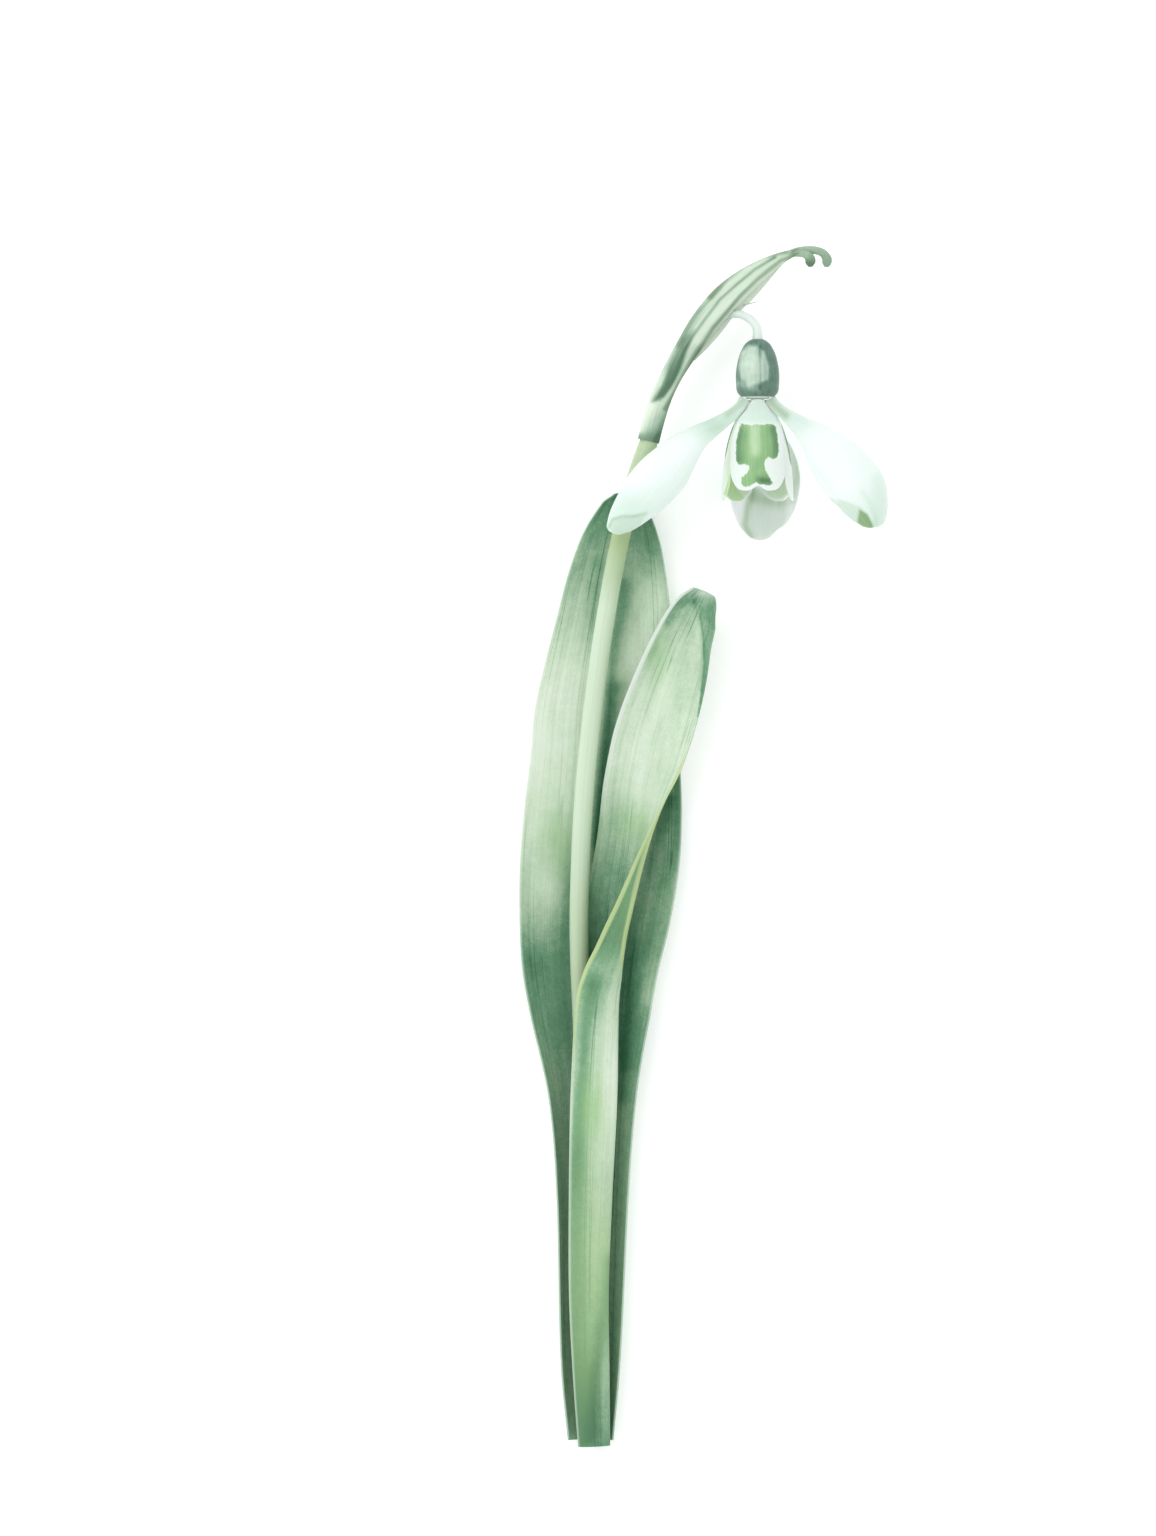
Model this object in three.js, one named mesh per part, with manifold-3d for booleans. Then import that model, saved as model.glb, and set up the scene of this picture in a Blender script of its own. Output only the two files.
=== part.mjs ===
// A snowdrop flower, picked with the two leaves of its shoot and laid on its back on a table.
// Lengths are in millimetres and angles in degrees.
// X runs across the shoot, Y along it from the cut end to the flower, and Z up.
import * as THREE from 'three';
import { mergeVertices } from 'three/addons/utils/BufferGeometryUtils.js';
import Module from 'manifold-3d';

// Driving dimensions
const STEM_RADIUS = { cut: 1.5, top: 1.42 };
const PEDICEL_RADIUS = 0.62;
const LEAF_EDGE = 0.62;
const LEAF_RIB = 0.9;
const PETAL_THICKNESS = 0.62;
const SPATHE_THICKNESS = 0.6;
const SPATHE_KEEL = 0.35;
const FLOWER_X = 8.1;
const FLOWER_Z = 9.6;
const OVARY_TOP = 76.1;
const OVARY_LENGTH = 8.6;
const OVARY_WIDTH = 6.6;
const JOINT_GAP = 0.34;
const PETAL_START = OVARY_TOP - OVARY_LENGTH - JOINT_GAP;
const STAMENS = 6;
const STAMEN_RING = 0.74;
const STAMEN_LENGTH = 6.4;
const STYLE_LENGTH = 12.6;
const STYLE_RADIUS = 0.25;
const STYLE_TIP = 0.8;

const UP = new THREE.Vector3(0, 0, 1);
const wasm = await Module();
wasm.setup();

// Materials
function skin(color, roughness) {
  return new THREE.MeshStandardMaterial({ color, roughness, metalness: 0 });
}
const LEAF_GREEN = skin(0x86aa86, 0.6);
const LEAF_PALE = skin(0xa2c198, 0.6);
const STEM_GREEN = skin(0xc6dcb8, 0.55);
const SPATHE_GREEN = skin(0xbfd6bb, 0.55);
const PEDICEL_PALE = skin(0xe2efe8, 0.55);
const OVARY_GREEN = skin(0x6f9a80, 0.45);
const PETAL_WHITE = skin(0xf1f8f5, 0.6);
const PETAL_MARKED = skin(0xdfeed8, 0.6);
const ANTHER_YELLOW = skin(0xf2b765, 0.7);
const STYLE_GREEN = skin(0xcbd98a, 0.6);

// A smooth curve through the stations of a list, asked for by a fraction from 0 to 1
function through(list) {
  const points = list.map((p) => new THREE.Vector3(...p));
  const curve = new THREE.CatmullRomCurve3(points, false, 'catmullrom');
  return (u) => curve.getPoint(Math.min(Math.max(u, 0), 1));
}

// The directions at a fraction of a curve: along it, up from it, and to the side of both
function frameAt(curve, u) {
  const step = 0.002;
  const along = curve(u + step).sub(curve(u - step)).normalize();
  const up = UP.clone().addScaledVector(along, -along.z).normalize();
  const side = along.clone().cross(up);
  return { along, up, side };
}

// A closed geometry of points and triangles, turned so that its faces point outwards
function closed(points, triangles) {
  const geometry = new THREE.BufferGeometry();
  let volume = 0;
  for (const [a, b, c] of triangles) {
    volume += points[a].dot(points[b].clone().cross(points[c]));
  }
  const outward = volume < 0 ? triangles.map(([a, b, c]) => [a, c, b]) : triangles;
  const places = points.flatMap((p) => p.toArray());
  geometry.setAttribute('position', new THREE.Float32BufferAttribute(places, 3));
  geometry.setIndex(outward.flat());
  geometry.computeVertexNormals();
  return geometry;
}

// A round stalk through stations of [x, y, z, radius]
function stalk(stations, { sides, steps }) {
  const path = through(stations.map((s) => s.slice(0, 3)));
  const radii = through(stations.map((s) => [s[3], 0, 0]));
  const points = [];
  for (let i = 0; i <= steps; i++) {
    const u = i / steps;
    const { up, side } = frameAt(path, u);
    const radius = radii(u).x;
    for (let j = 0; j < sides; j++) {
      const turn = (2 * Math.PI * j) / sides;
      const centre = path(u);
      centre.addScaledVector(up, radius * Math.cos(turn));
      points.push(centre.addScaledVector(side, radius * Math.sin(turn)));
    }
  }
  const triangles = [];
  for (let i = 0; i < steps; i++) {
    for (let j = 0; j < sides; j++) {
      const a = i * sides + j;
      const b = i * sides + ((j + 1) % sides);
      triangles.push([a, b, b + sides], [a, b + sides, a + sides]);
    }
  }
  const last = points.length;
  points.push(path(0), path(1));
  for (let j = 0; j < sides; j++) {
    const next = (j + 1) % sides;
    triangles.push([last, next, j]);
    triangles.push([last + 1, steps * sides + j, steps * sides + next]);
  }
  return closed(points, triangles);
}

// The middle surface of a leaf or petal. Its stations are [x, y, z, half width, curl, turn]: the midrib's
// place, half the width measured round the blade, how many degrees the cross-section bends, and where its
// hollow side faces, from 0 for straight up to -90 for the side of the blade's right margin.
// reach(v) is the share of the length that a line of the blade has, from one margin, v = -1, to the other.
function bladeSurface(stations, reach = () => 1) {
  const path = through(stations.map((s) => s.slice(0, 3)));
  const form = through(stations.map((s) => s.slice(3)));
  return (u, v) => {
    const at = u * reach(v);
    const { up, side } = frameAt(path, at);
    const { x: half, y: curl, z: turn } = form(at);
    const bend = THREE.MathUtils.degToRad(Math.max(curl, 1)) / 2;
    const radius = half / bend;
    const face = THREE.MathUtils.degToRad(turn);
    const across = radius * Math.sin(v * bend);
    const depth = radius * (1 - Math.cos(v * bend));
    return path(at)
      .addScaledVector(side, across * Math.cos(face) - depth * Math.sin(face))
      .addScaledVector(up, across * Math.sin(face) + depth * Math.cos(face));
  };
}

// The middle surface of a rolled blade. Its stations are [x, y, z, radius, from, to]: the roll's centre, its
// radius, and the angles round it of the two margins, from 0 for straight down to 90 for the right side.
function rollSurface(stations) {
  const path = through(stations.map((s) => s.slice(0, 3)));
  const form = through(stations.map((s) => s.slice(3)));
  return (u, v) => {
    const { side } = frameAt(path, u);
    const { x: radius, y: from, z: to } = form(u);
    const turn = THREE.MathUtils.degToRad(THREE.MathUtils.lerp(from, to, (v + 1) / 2));
    return path(u)
      .addScaledVector(side, radius * Math.sin(turn))
      .addScaledVector(UP, -radius * Math.cos(turn));
  };
}

// A sheet of real thickness on a surface, with both faces split into triangles alike
function sheet(surface, thickness, { rows, columns }, ridge = () => 0) {
  const outer = [];
  const inner = [];
  const step = 0.01;
  for (let i = 0; i <= rows; i++) {
    for (let j = 0; j <= columns; j++) {
      const u = i / rows;
      const v = (2 * j) / columns - 1;
      const middle = surface(u, v);
      const lengthwise = surface(Math.min(u + step, 1), v).sub(surface(Math.max(u - step, 0), v));
      const crosswise = surface(u, Math.min(v + step, 1)).sub(surface(u, Math.max(v - step, -1)));
      const hollow = crosswise.cross(lengthwise).normalize();
      const half = thickness(v) / 2;
      outer.push(middle.clone().addScaledVector(hollow, -half - ridge(v)));
      inner.push(middle.clone().addScaledVector(hollow, half));
    }
  }
  const points = [...outer, ...inner];
  const under = outer.length;
  const width = columns + 1;
  const triangles = [];
  for (let i = 0; i < rows; i++) {
    for (let j = 0; j < columns; j++) {
      const a = i * width + j;
      const b = a + 1;
      const c = a + width;
      triangles.push([a, c, c + 1], [a, c + 1, b]);
      triangles.push([under + a, under + c + 1, under + c], [under + a, under + b, under + c + 1]);
    }
  }
  const edge = [];
  for (let j = 0; j < columns; j++) edge.push(j);
  for (let i = 0; i < rows; i++) edge.push(i * width + columns);
  for (let j = columns; j > 0; j--) edge.push(rows * width + j);
  for (let i = rows; i > 0; i--) edge.push(i * width);
  edge.forEach((a, k) => {
    const b = edge[(k + 1) % edge.length];
    triangles.push([a, b, under + b], [a, under + b, under + a]);
  });
  return closed(points, triangles);
}

// The lowest part of a piece pressed flat where it lies on the table
function restOnTable(geometry) {
  const place = geometry.attributes.position;
  for (let i = 0; i < place.count; i++) {
    place.setZ(i, Math.max(place.getZ(i), 0));
  }
  geometry.computeVertexNormals();
  return geometry;
}

function solid(geometry) {
  const bare = geometry.clone();
  bare.deleteAttribute('normal');
  bare.deleteAttribute('uv');
  const merged = mergeVertices(bare, 1e-3);
  return new wasm.Manifold(new wasm.Mesh({
    numProp: 3,
    vertProperties: merged.attributes.position.array,
    triVerts: new Uint32Array(merged.index.array),
  }));
}

function joined(...geometries) {
  const mesh = geometries.map(solid).reduce((whole, next) => whole.add(next)).getMesh();
  const geometry = new THREE.BufferGeometry();
  geometry.setAttribute('position', new THREE.BufferAttribute(mesh.vertProperties, 3));
  geometry.setIndex(new THREE.BufferAttribute(mesh.triVerts, 1));
  geometry.computeVertexNormals();
  return geometry;
}

// The stem that carries the flower, cut at its lower end
const SCAPE = [
  [-16.9, -89.2, 3.75], [-17.4, -79.0, 3.95], [-17.8, -66.8, 4.1], [-17.7, -51.8, 4.15],
  [-17.8, -37.9, 4.15], [-18.2, -24.4, 4.2], [-18.5, -16.2, 4.4], [-18.5, -6.9, 4.7], [-17.9, 6.5, 5.1],
  [-16.7, 18.9, 5.4],
  [-14.8, 32.9, 5.7], [-12.6, 45.3, 6.0], [-10.4, 54.3, 6.2], [-8.3, 60.4, 6.3],
];

function scape() {
  const { cut, top } = STEM_RADIUS;
  const stations = SCAPE.map((centre, i) => {
    const radius = THREE.MathUtils.lerp(cut, top, i / (SCAPE.length - 1));
    return [...centre, radius];
  });
  return stalk(stations, { sides: 12, steps: 30 });
}

// The broad leaf that lies under the stem: a shallow channel that narrows to a half pipe at the cut end
const LEAF_BACK = [
  [-16.9, -89.2, 0.25, 4.5, 150, 0], [-16.9, -76.6, 0.25, 6.0, 150, 0], [-16.6, -52.9, 0.25, 6.9, 140, 0],
  [-16.6, -37.9, 0.25, 8.0, 125, 0], [-16.9, -25.3, 0.25, 10.2, 100, 0], [-16.9, -17.2, 0.25, 11.4, 85, 0],
  [-16.2, -9.4, 0.25, 12.3, 75, 0], [-15.5, -1.8, 0.25, 12.7, 68, 0], [-15.0, 6.0, 0.25, 12.4, 62, 0],
  [-14.7, 13.8, 0.25, 11.7, 58, 0], [-14.5, 19.9, 0.25, 11.3, 55, 0], [-14.0, 26.7, 0.5, 10.2, 52, 0],
  [-13.4, 33.4, 0.8, 9.0, 50, 0], [-12.9, 39.6, 1.2, 7.9, 50, 0], [-12.4, 45.4, 1.7, 6.4, 50, 0],
  [-12.1, 49.4, 2.0, 4.7, 50, 0], [-12.1, 52.0, 2.3, 3.0, 50, 0], [-12.2, 53.3, 2.4, 1.0, 50, 0],
];

// The front leaf: rolled round the stem below, where the roll opens to the left, and unrolling upwards into
// a channel that faces up. Each row is the roll's centre [x, y], the height of its lowest side, its radius,
// and the angles of its back and front margins.
const LEAF_FRONT = [
  [-16.6, -90.0, 1.6, 2.45, -25, 240], [-17.0, -79.0, 1.6, 2.7, -28, 242],
  [-17.4, -66.8, 1.6, 2.85, -30, 242], [-17.2, -51.8, 1.6, 2.95, -30, 242],
  [-16.6, -37.9, 1.6, 3.0, -30, 242], [-16.4, -24.4, 1.6, 3.15, -30, 232],
  [-16.3, -19.3, 1.65, 3.35, -30, 212], [-16.2, -14.7, 1.7, 3.7, -30, 182],
  [-15.8, -9.5, 1.75, 4.3, -30, 158], [-13.7, 0.8, 1.85, 5.0, -28, 124],
  [-11.7, 8.8, 2.2, 6.2, -33, 92], [-9.4, 15.0, 2.8, 7.3, -38, 70],
  [-7.3, 20.6, 3.4, 7.6, -39, 60], [-5.7, 26.1, 3.9, 7.3, -35, 59],
  [-4.0, 31.3, 4.6, 6.1, -34, 62], [-2.5, 34.9, 5.3, 5.0, -34, 64],
  [-1.2, 37.1, 6.2, 3.7, -34, 66], [-0.1, 38.2, 7.3, 1.9, -30, 68],
];

const leafThickness = (v) => LEAF_EDGE + (LEAF_RIB - LEAF_EDGE) * (1 - Math.abs(v)) ** 2;

function leafBack() {
  return restOnTable(sheet(bladeSurface(LEAF_BACK), leafThickness, { rows: 32, columns: 12 }));
}

function leafFront() {
  const stations = LEAF_FRONT.map(([x, y, low, radius, back, front]) => {
    return [x, y, low + radius, radius, back, front];
  });
  return sheet(rollSurface(stations), () => LEAF_EDGE, { rows: 38, columns: 14 });
}

// The spathe: a papery hood on the stem's top, open on the side where the flower's stalk comes out, with two
// green keels and a pair of small hooks at its tip
const SPATHE = [
  [-8.25, 60.9, 6.3, 1.34, 60, 400], [-7.6, 63.5, 6.4, 1.34, 62, 396], [-6.5, 66.8, 6.6, 1.36, 75, 380],
  [-4.7, 70.7, 6.8, 1.46, 100, 356], [-2.3, 74.6, 7.0, 1.8, 120, 338], [0.3, 78.3, 7.2, 2.2, 130, 330],
  [3.5, 82.0, 7.4, 2.3, 130, 325], [6.7, 84.8, 7.7, 1.95, 132, 320], [9.7, 86.9, 8.0, 1.4, 135, 315],
  [12.2, 88.3, 8.3, 0.85, 140, 305], [14.4, 89.2, 8.5, 0.35, 150, 290],
];
const KEELS = [{ at: -0.68, width: 0.14 }, { at: 0.02, width: 0.26 }];

function spatheRidge(v) {
  const heights = KEELS.map(({ at, width }) => SPATHE_KEEL * Math.exp(-(((v - at) / width) ** 2)));
  return Math.max(...heights);
}

function spathe() {
  const hood = sheet(rollSurface(SPATHE), () => SPATHE_THICKNESS, { rows: 24, columns: 18 }, spatheRidge);
  const outerHook = stalk([
    [12.6, 88.8, 8.5, 0.6], [14.4, 89.3, 8.5, 0.66], [16.3, 89.5, 8.4, 0.6], [17.8, 89.1, 8.3, 0.62],
    [18.5, 88.2, 8.3, 0.62], [18.5, 87.1, 8.2, 0.44],
  ], { sides: 8, steps: 12 });
  const innerHook = stalk([
    [13.5, 89.0, 8.6, 0.5], [15.1, 88.9, 8.9, 0.6], [16.0, 88.2, 9.0, 0.64], [16.1, 87.1, 8.9, 0.42],
  ], { sides: 8, steps: 8 });
  return joined(hood, outerHook, innerHook);
}

// The slender stalk that leaves the spathe and holds the flower
function pedicel() {
  const r = PEDICEL_RADIUS;
  const insideSpathe = SPATHE.slice(1, 5).map(([x, y, z]) => [x, y, z, r]);
  return stalk([
    [-8.2, 61.2, 6.3, r], ...insideSpathe, [0.7, 77.9, 7.0, r], [3.2, 79.6, 7.4, r], [5.3, 79.9, 8.2, r],
    [7.1, 79.0, 9.05, r], [8.0, 77.7, 9.5, r], [FLOWER_X, OVARY_TOP + JOINT_GAP, FLOWER_Z, r],
  ], { sides: 10, steps: 26 });
}

// The egg-shaped ovary below the stalk, its narrow end at the stalk. Its profile gives shares of the
// greatest radius and of the length.
const OVARY_PROFILE = [
  [0, 0], [0.22, 0], [0.44, 0.04], [0.64, 0.12], [0.83, 0.27], [0.95, 0.45], [1, 0.62], [0.99, 0.78],
  [0.94, 0.92], [0.76, 1], [0, 1],
];
const OVARY_SEGMENTS = 24;

function ovary() {
  const widest = OVARY_WIDTH / 2;
  const profile = OVARY_PROFILE.map(([out, down]) => new THREE.Vector2(out * widest, -down * OVARY_LENGTH));
  return new THREE.LatheGeometry(profile.reverse(), OVARY_SEGMENTS);
}

// Outer petals: spoons on narrow claws, two spread to the sides and one lying on the table
const OUTER_LEFT = [
  [5.6, 66.9, 10.4, 0.8, 50, 108], [4.8, 65.7, 10.6, 0.9, 60, 118], [3.4, 64.3, 10.9, 1.2, 70, 130],
  [1.2, 63.0, 11.4, 1.7, 80, 145], [-1.3, 61.6, 12.0, 2.5, 90, 150], [-3.8, 59.6, 12.7, 3.7, 95, 150],
  [-6.4, 56.9, 13.3, 4.8, 98, 150], [-9.0, 54.1, 13.7, 4.8, 102, 150], [-11.2, 51.4, 13.6, 4.0, 108, 150],
  [-13.0, 49.0, 13.0, 2.9, 114, 150], [-14.1, 47.3, 12.3, 1.3, 120, 150],
];
const OUTER_RIGHT = [
  [10.6, 66.9, 10.4, 0.8, 50, -108], [11.6, 65.7, 10.6, 0.9, 60, -118], [12.9, 64.5, 10.9, 1.2, 70, -130],
  [14.8, 63.2, 11.3, 2.0, 80, -145], [17.2, 61.6, 12.0, 3.4, 88, -150], [19.8, 59.2, 12.7, 5.0, 93, -150],
  [22.2, 56.6, 13.2, 5.7, 98, -150], [24.2, 54.1, 13.4, 5.6, 102, -150], [25.2, 51.7, 13.2, 4.9, 107, -150],
  [25.8, 49.5, 12.8, 3.6, 112, -150], [26.0, 47.9, 12.3, 2.0, 118, -150],
];
const OUTER_BACK = [
  [8.1, 66.9, 7.0, 0.8, 50, 0], [8.2, 65.4, 6.1, 1.1, 60, 0], [8.5, 63.0, 4.5, 2.3, 70, 0],
  [9.0, 60.0, 3.2, 4.6, 78, 0], [9.3, 56.5, 1.9, 5.7, 82, 0], [9.2, 53.3, 1.0, 5.6, 84, 0],
  [8.9, 50.6, 0.35, 4.9, 86, 0], [8.6, 48.3, 0.15, 3.6, 88, 0], [8.6, 46.1, 0.45, 1.3, 90, 0],
];

function outerPetal(stations) {
  return sheet(bladeSurface(stations), () => PETAL_THICKNESS, { rows: 18, columns: 12 });
}

// Inner petals: a cup of three, each with a shallow notch in the middle of its end
const INNER_FRONT = [
  [8.1, 66.9, 11.15, 0.8, 50, 180], [8.1, 65.9, 11.7, 1.6, 70, 180], [8.1, 64.6, 12.4, 2.9, 85, 180],
  [8.1, 62.8, 13.1, 3.9, 95, 180], [8.1, 60.6, 13.6, 4.5, 98, 180], [8.1, 57.8, 13.9, 4.7, 100, 180],
  [8.1, 55.4, 14.0, 4.5, 100, 180], [8.1, 53.3, 14.0, 4.2, 98, 180],
];
const SIDE_FLARE = 0.24;
const SIDE_LONGER = 1.4;
const SIDE_CLAW = 0.8;
const INNER_NOTCH = { depth: 0.05, width: 0.2, corner: 0.16 };

function innerReach(v) {
  const { depth, width, corner } = INNER_NOTCH;
  return 1 - depth * Math.exp(-((v / width) ** 2)) - corner * v ** 6;
}

// The stations of an inner petal turned about the flower's axis by an angle from the front: a little longer
// and wider open than the one in front, and slimmer at its claw
function turnedPetal(stations, degrees) {
  const angle = THREE.MathUtils.degToRad(degrees);
  return stations.map(([, y, z, half, curl], i) => {
    const share = i / (stations.length - 1);
    const out = (z - FLOWER_Z) * (1 + SIDE_FLARE * share);
    const x = FLOWER_X + out * Math.sin(angle);
    const slim = half * (SIDE_CLAW + (1 - SIDE_CLAW) * share);
    return [x, y - SIDE_LONGER * share, FLOWER_Z + out * Math.cos(angle), slim, curl, 180 + degrees];
  });
}

function innerPetal(stations) {
  return sheet(bladeSurface(stations, innerReach), () => PETAL_THICKNESS, { rows: 14, columns: 12 });
}

// A stamen: a short thread that swells into a long pointed anther, leaning in to the style. Its profile
// gives the share of its length, its distance from the flower's axis as a share of the ring, and its radius.
const STAMEN_PROFILE = [
  [0, 1, 0.18], [0.13, 1.2, 0.18], [0.22, 1.4, 0.36], [0.5, 1.45, 0.4], [0.8, 1.25, 0.3], [1, 1, 0.14],
];

function stamen(index) {
  const turn = (2 * Math.PI * (index + 0.5)) / STAMENS;
  const stations = STAMEN_PROFILE.map(([down, out, radius]) => [
    FLOWER_X + STAMEN_RING * out * Math.sin(turn),
    PETAL_START - STAMEN_LENGTH * down,
    FLOWER_Z + STAMEN_RING * out * Math.cos(turn),
    radius,
  ]);
  return stalk(stations, { sides: 6, steps: 10 });
}

function style() {
  const end = PETAL_START - STYLE_LENGTH;
  const r = STYLE_RADIUS;
  return stalk([
    [FLOWER_X, PETAL_START, FLOWER_Z, r], [FLOWER_X, PETAL_START - STYLE_LENGTH / 2, FLOWER_Z, r],
    [FLOWER_X, end, FLOWER_Z, STYLE_TIP * r],
  ], { sides: 8, steps: 4 });
}

const shoot = new THREE.Group();

function add(name, geometry, material) {
  const mesh = new THREE.Mesh(geometry, material);
  mesh.name = name;
  shoot.add(mesh);
  return mesh;
}

add('scape', scape(), STEM_GREEN);
add('leaf_back', leafBack(), LEAF_GREEN);
add('leaf_front', leafFront(), LEAF_PALE);
add('spathe', spathe(), SPATHE_GREEN);
add('pedicel', pedicel(), PEDICEL_PALE);
add('ovary', ovary(), OVARY_GREEN).position.set(FLOWER_X, OVARY_TOP, FLOWER_Z);
add('outer_petal_left', outerPetal(OUTER_LEFT), PETAL_WHITE);
add('outer_petal_right', outerPetal(OUTER_RIGHT), PETAL_WHITE);
add('outer_petal_back', restOnTable(outerPetal(OUTER_BACK)), PETAL_WHITE);
add('inner_petal_front', innerPetal(INNER_FRONT), PETAL_MARKED);
add('inner_petal_left', innerPetal(turnedPetal(INNER_FRONT, -120)), PETAL_MARKED);
add('inner_petal_right', innerPetal(turnedPetal(INNER_FRONT, 120)), PETAL_MARKED);
for (let i = 0; i < STAMENS; i++) {
  add(`stamen_${i + 1}`, stamen(i), ANTHER_YELLOW);
}
add('style', style(), STYLE_GREEN);

export default shoot;
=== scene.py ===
# %% [markdown]
# # A picked snowdrop
# One shoot of a snowdrop is cut off at the ground and laid on its back on a white sheet. A slender stem
# rises between two leaves, and at its top a papery hood lets out a thin stalk, from which the flower
# hangs: an egg-shaped ovary, three white outer petals and a cup of three inner petals with green marks.
#
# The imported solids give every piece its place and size. Here each of them is replaced by a finer and
# thinner piece. It is made from nearly the same stations, so it stands where the solid stands, and
# nothing has to be moved or fitted.

import bmesh
import bpy
import numpy as np
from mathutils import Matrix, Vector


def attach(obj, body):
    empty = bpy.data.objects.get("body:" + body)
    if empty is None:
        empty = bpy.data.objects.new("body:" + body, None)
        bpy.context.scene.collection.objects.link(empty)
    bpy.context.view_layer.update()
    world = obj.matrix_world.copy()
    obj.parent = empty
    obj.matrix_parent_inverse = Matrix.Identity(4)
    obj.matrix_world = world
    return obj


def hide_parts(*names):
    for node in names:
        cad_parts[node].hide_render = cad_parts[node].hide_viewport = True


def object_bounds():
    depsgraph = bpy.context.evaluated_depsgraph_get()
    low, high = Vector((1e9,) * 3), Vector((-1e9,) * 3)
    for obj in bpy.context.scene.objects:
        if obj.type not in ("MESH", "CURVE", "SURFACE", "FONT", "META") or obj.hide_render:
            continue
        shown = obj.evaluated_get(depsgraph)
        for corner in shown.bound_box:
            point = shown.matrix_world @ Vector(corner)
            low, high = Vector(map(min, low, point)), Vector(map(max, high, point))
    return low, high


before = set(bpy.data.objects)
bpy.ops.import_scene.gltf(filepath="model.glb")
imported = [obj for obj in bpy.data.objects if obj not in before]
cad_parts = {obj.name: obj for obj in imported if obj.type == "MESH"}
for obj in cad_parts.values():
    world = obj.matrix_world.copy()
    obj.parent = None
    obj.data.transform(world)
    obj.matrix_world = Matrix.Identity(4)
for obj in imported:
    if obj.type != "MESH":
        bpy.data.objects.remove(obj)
solid_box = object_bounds()
MM = 0.001
solid_size = [round(side / MM, 1) for side in solid_box[1] - solid_box[0]]
print("solids:", len(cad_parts), "box in mm:", solid_size)

# %% [markdown]
# ## Where the camera stands
# A botanical study shows the plant flat, without near parts looking larger than far ones. A camera
# could be set to orthographic for that, but a long lens from far away gives nearly the same picture and
# still works when the camera is moved round the object. It looks straight down, with the flower's end
# of the shoot at the top of the picture, and the shoot stands a little right of the middle.

# %% Camera
LENS = 300.0
SENSOR = 36.0
PICTURE_HEIGHT = 230.4 * MM
PICTURE_MIDDLE = (-18.8 * MM, 11.85 * MM)
SHOOT_HEIGHT = 7 * MM

lens = bpy.data.cameras.new("long_lens")
lens.lens = LENS
lens.sensor_width = SENSOR
lens.clip_end = 20
camera = bpy.data.objects.new("camera", lens)
camera.location = (*PICTURE_MIDDLE, SHOOT_HEIGHT + PICTURE_HEIGHT * LENS / SENSOR)
bpy.context.collection.objects.link(camera)
bpy.context.scene.camera = camera
print("camera height in m:", round(camera.location.z, 3))

# %% [markdown]
# ## Light
# The colours of a pale plant are easily lost in hard light or in a picture that is graded for contrast.
# So the sky gives an even white light, one large weak lamp from the upper left models the forms, and the
# colours are shown as they are, with the plain Standard view. The light is a little more than a white
# sheet needs to look white, so that its faint shadows stay white too, and each paint is mixed that much
# darker.

# %% Sky and lamp
SKY_STRENGTH = 0.95
LAMP_POWER = 2.0
LAMP_PLACE = (-0.42, 0.42, 0.75)
LAMP_SIZE = 0.5
FULL_LIGHT = 1.1

bpy.context.scene.view_settings.view_transform = "Standard"
sky = bpy.data.worlds.new("even_sky")
sky.use_nodes = True
sky.node_tree.nodes["Background"].inputs["Color"].default_value = (1, 1, 1, 1)
sky.node_tree.nodes["Background"].inputs["Strength"].default_value = SKY_STRENGTH
bpy.context.scene.world = sky

lamp_data = bpy.data.lights.new("soft_lamp", "AREA")
lamp_data.energy = LAMP_POWER
lamp_data.size = LAMP_SIZE
lamp = bpy.data.objects.new("soft_lamp", lamp_data)
lamp.location = LAMP_PLACE
lamp.rotation_mode = "QUATERNION"
lamp.rotation_quaternion = lamp.location.to_track_quat("Z", "Y")
bpy.context.collection.objects.link(lamp)


# %% Colours as they look on a screen
def paint(red, green, blue):
    """The linear colour for a shader, from the screen colour, 0 to 255, that full light should show."""
    share = np.array([red, green, blue]) / 255
    # the sRGB curve, which turns a screen's numbers into amounts of light
    linear = np.where(share <= 0.04045, share / 12.92, ((share + 0.055) / 1.055) ** 2.4)
    return (*(linear / FULL_LIGHT).tolist(), 1.0)


# %% [markdown]
# ## A small kit for finishes
# Each finish is a Principled shader with a few nodes in front of it. Adding a node, setting its values
# and linking its inputs takes many lines in plain bpy, so one helper does all three. A value that is the
# same everywhere is set on the shader itself, and only what changes over the surface gets nodes.

# %% Helpers for nodes
def add_node(tree, kind, sockets, **settings):
    """A shader node with its settings made and its inputs set to values or linked to other nodes."""
    made = tree.nodes.new("ShaderNode" + kind)
    for setting, value in settings.items():
        setattr(made, setting, value)
    for socket, value in sockets.items():
        if isinstance(value, bpy.types.NodeSocket):
            tree.links.new(value, made.inputs[socket])
        else:
            made.inputs[socket].default_value = value
    return made


def mixed(tree, share, first, second):
    """The first colour where the share is 0 and the second where it is 1."""
    # a Mix node has inputs for each kind of value, and 6 and 7 are those for colours, as output 2 is
    sockets = {"Factor": share, 6: first, 7: second}
    return add_node(tree, "Mix", sockets, data_type="RGBA").outputs[2]


def calculated(tree, operation, *values, clamp=False):
    """One step of arithmetic on values or on other nodes."""
    sockets = dict(enumerate(values))
    return add_node(tree, "Math", sockets, operation=operation, use_clamp=clamp).outputs[0]


def brushed(tree, name):
    """A value that was brushed onto the piece's points under this name."""
    return add_node(tree, "Attribute", {}, attribute_name=name).outputs["Fac"]


def between(tree, value, low, high):
    """0 where the value is below low, 1 where it is above high, and a soft step between them."""
    sockets = {"Value": value, "From Min": low, "From Max": high}
    return add_node(tree, "MapRange", sockets, interpolation_type="SMOOTHSTEP").outputs[0]


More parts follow.
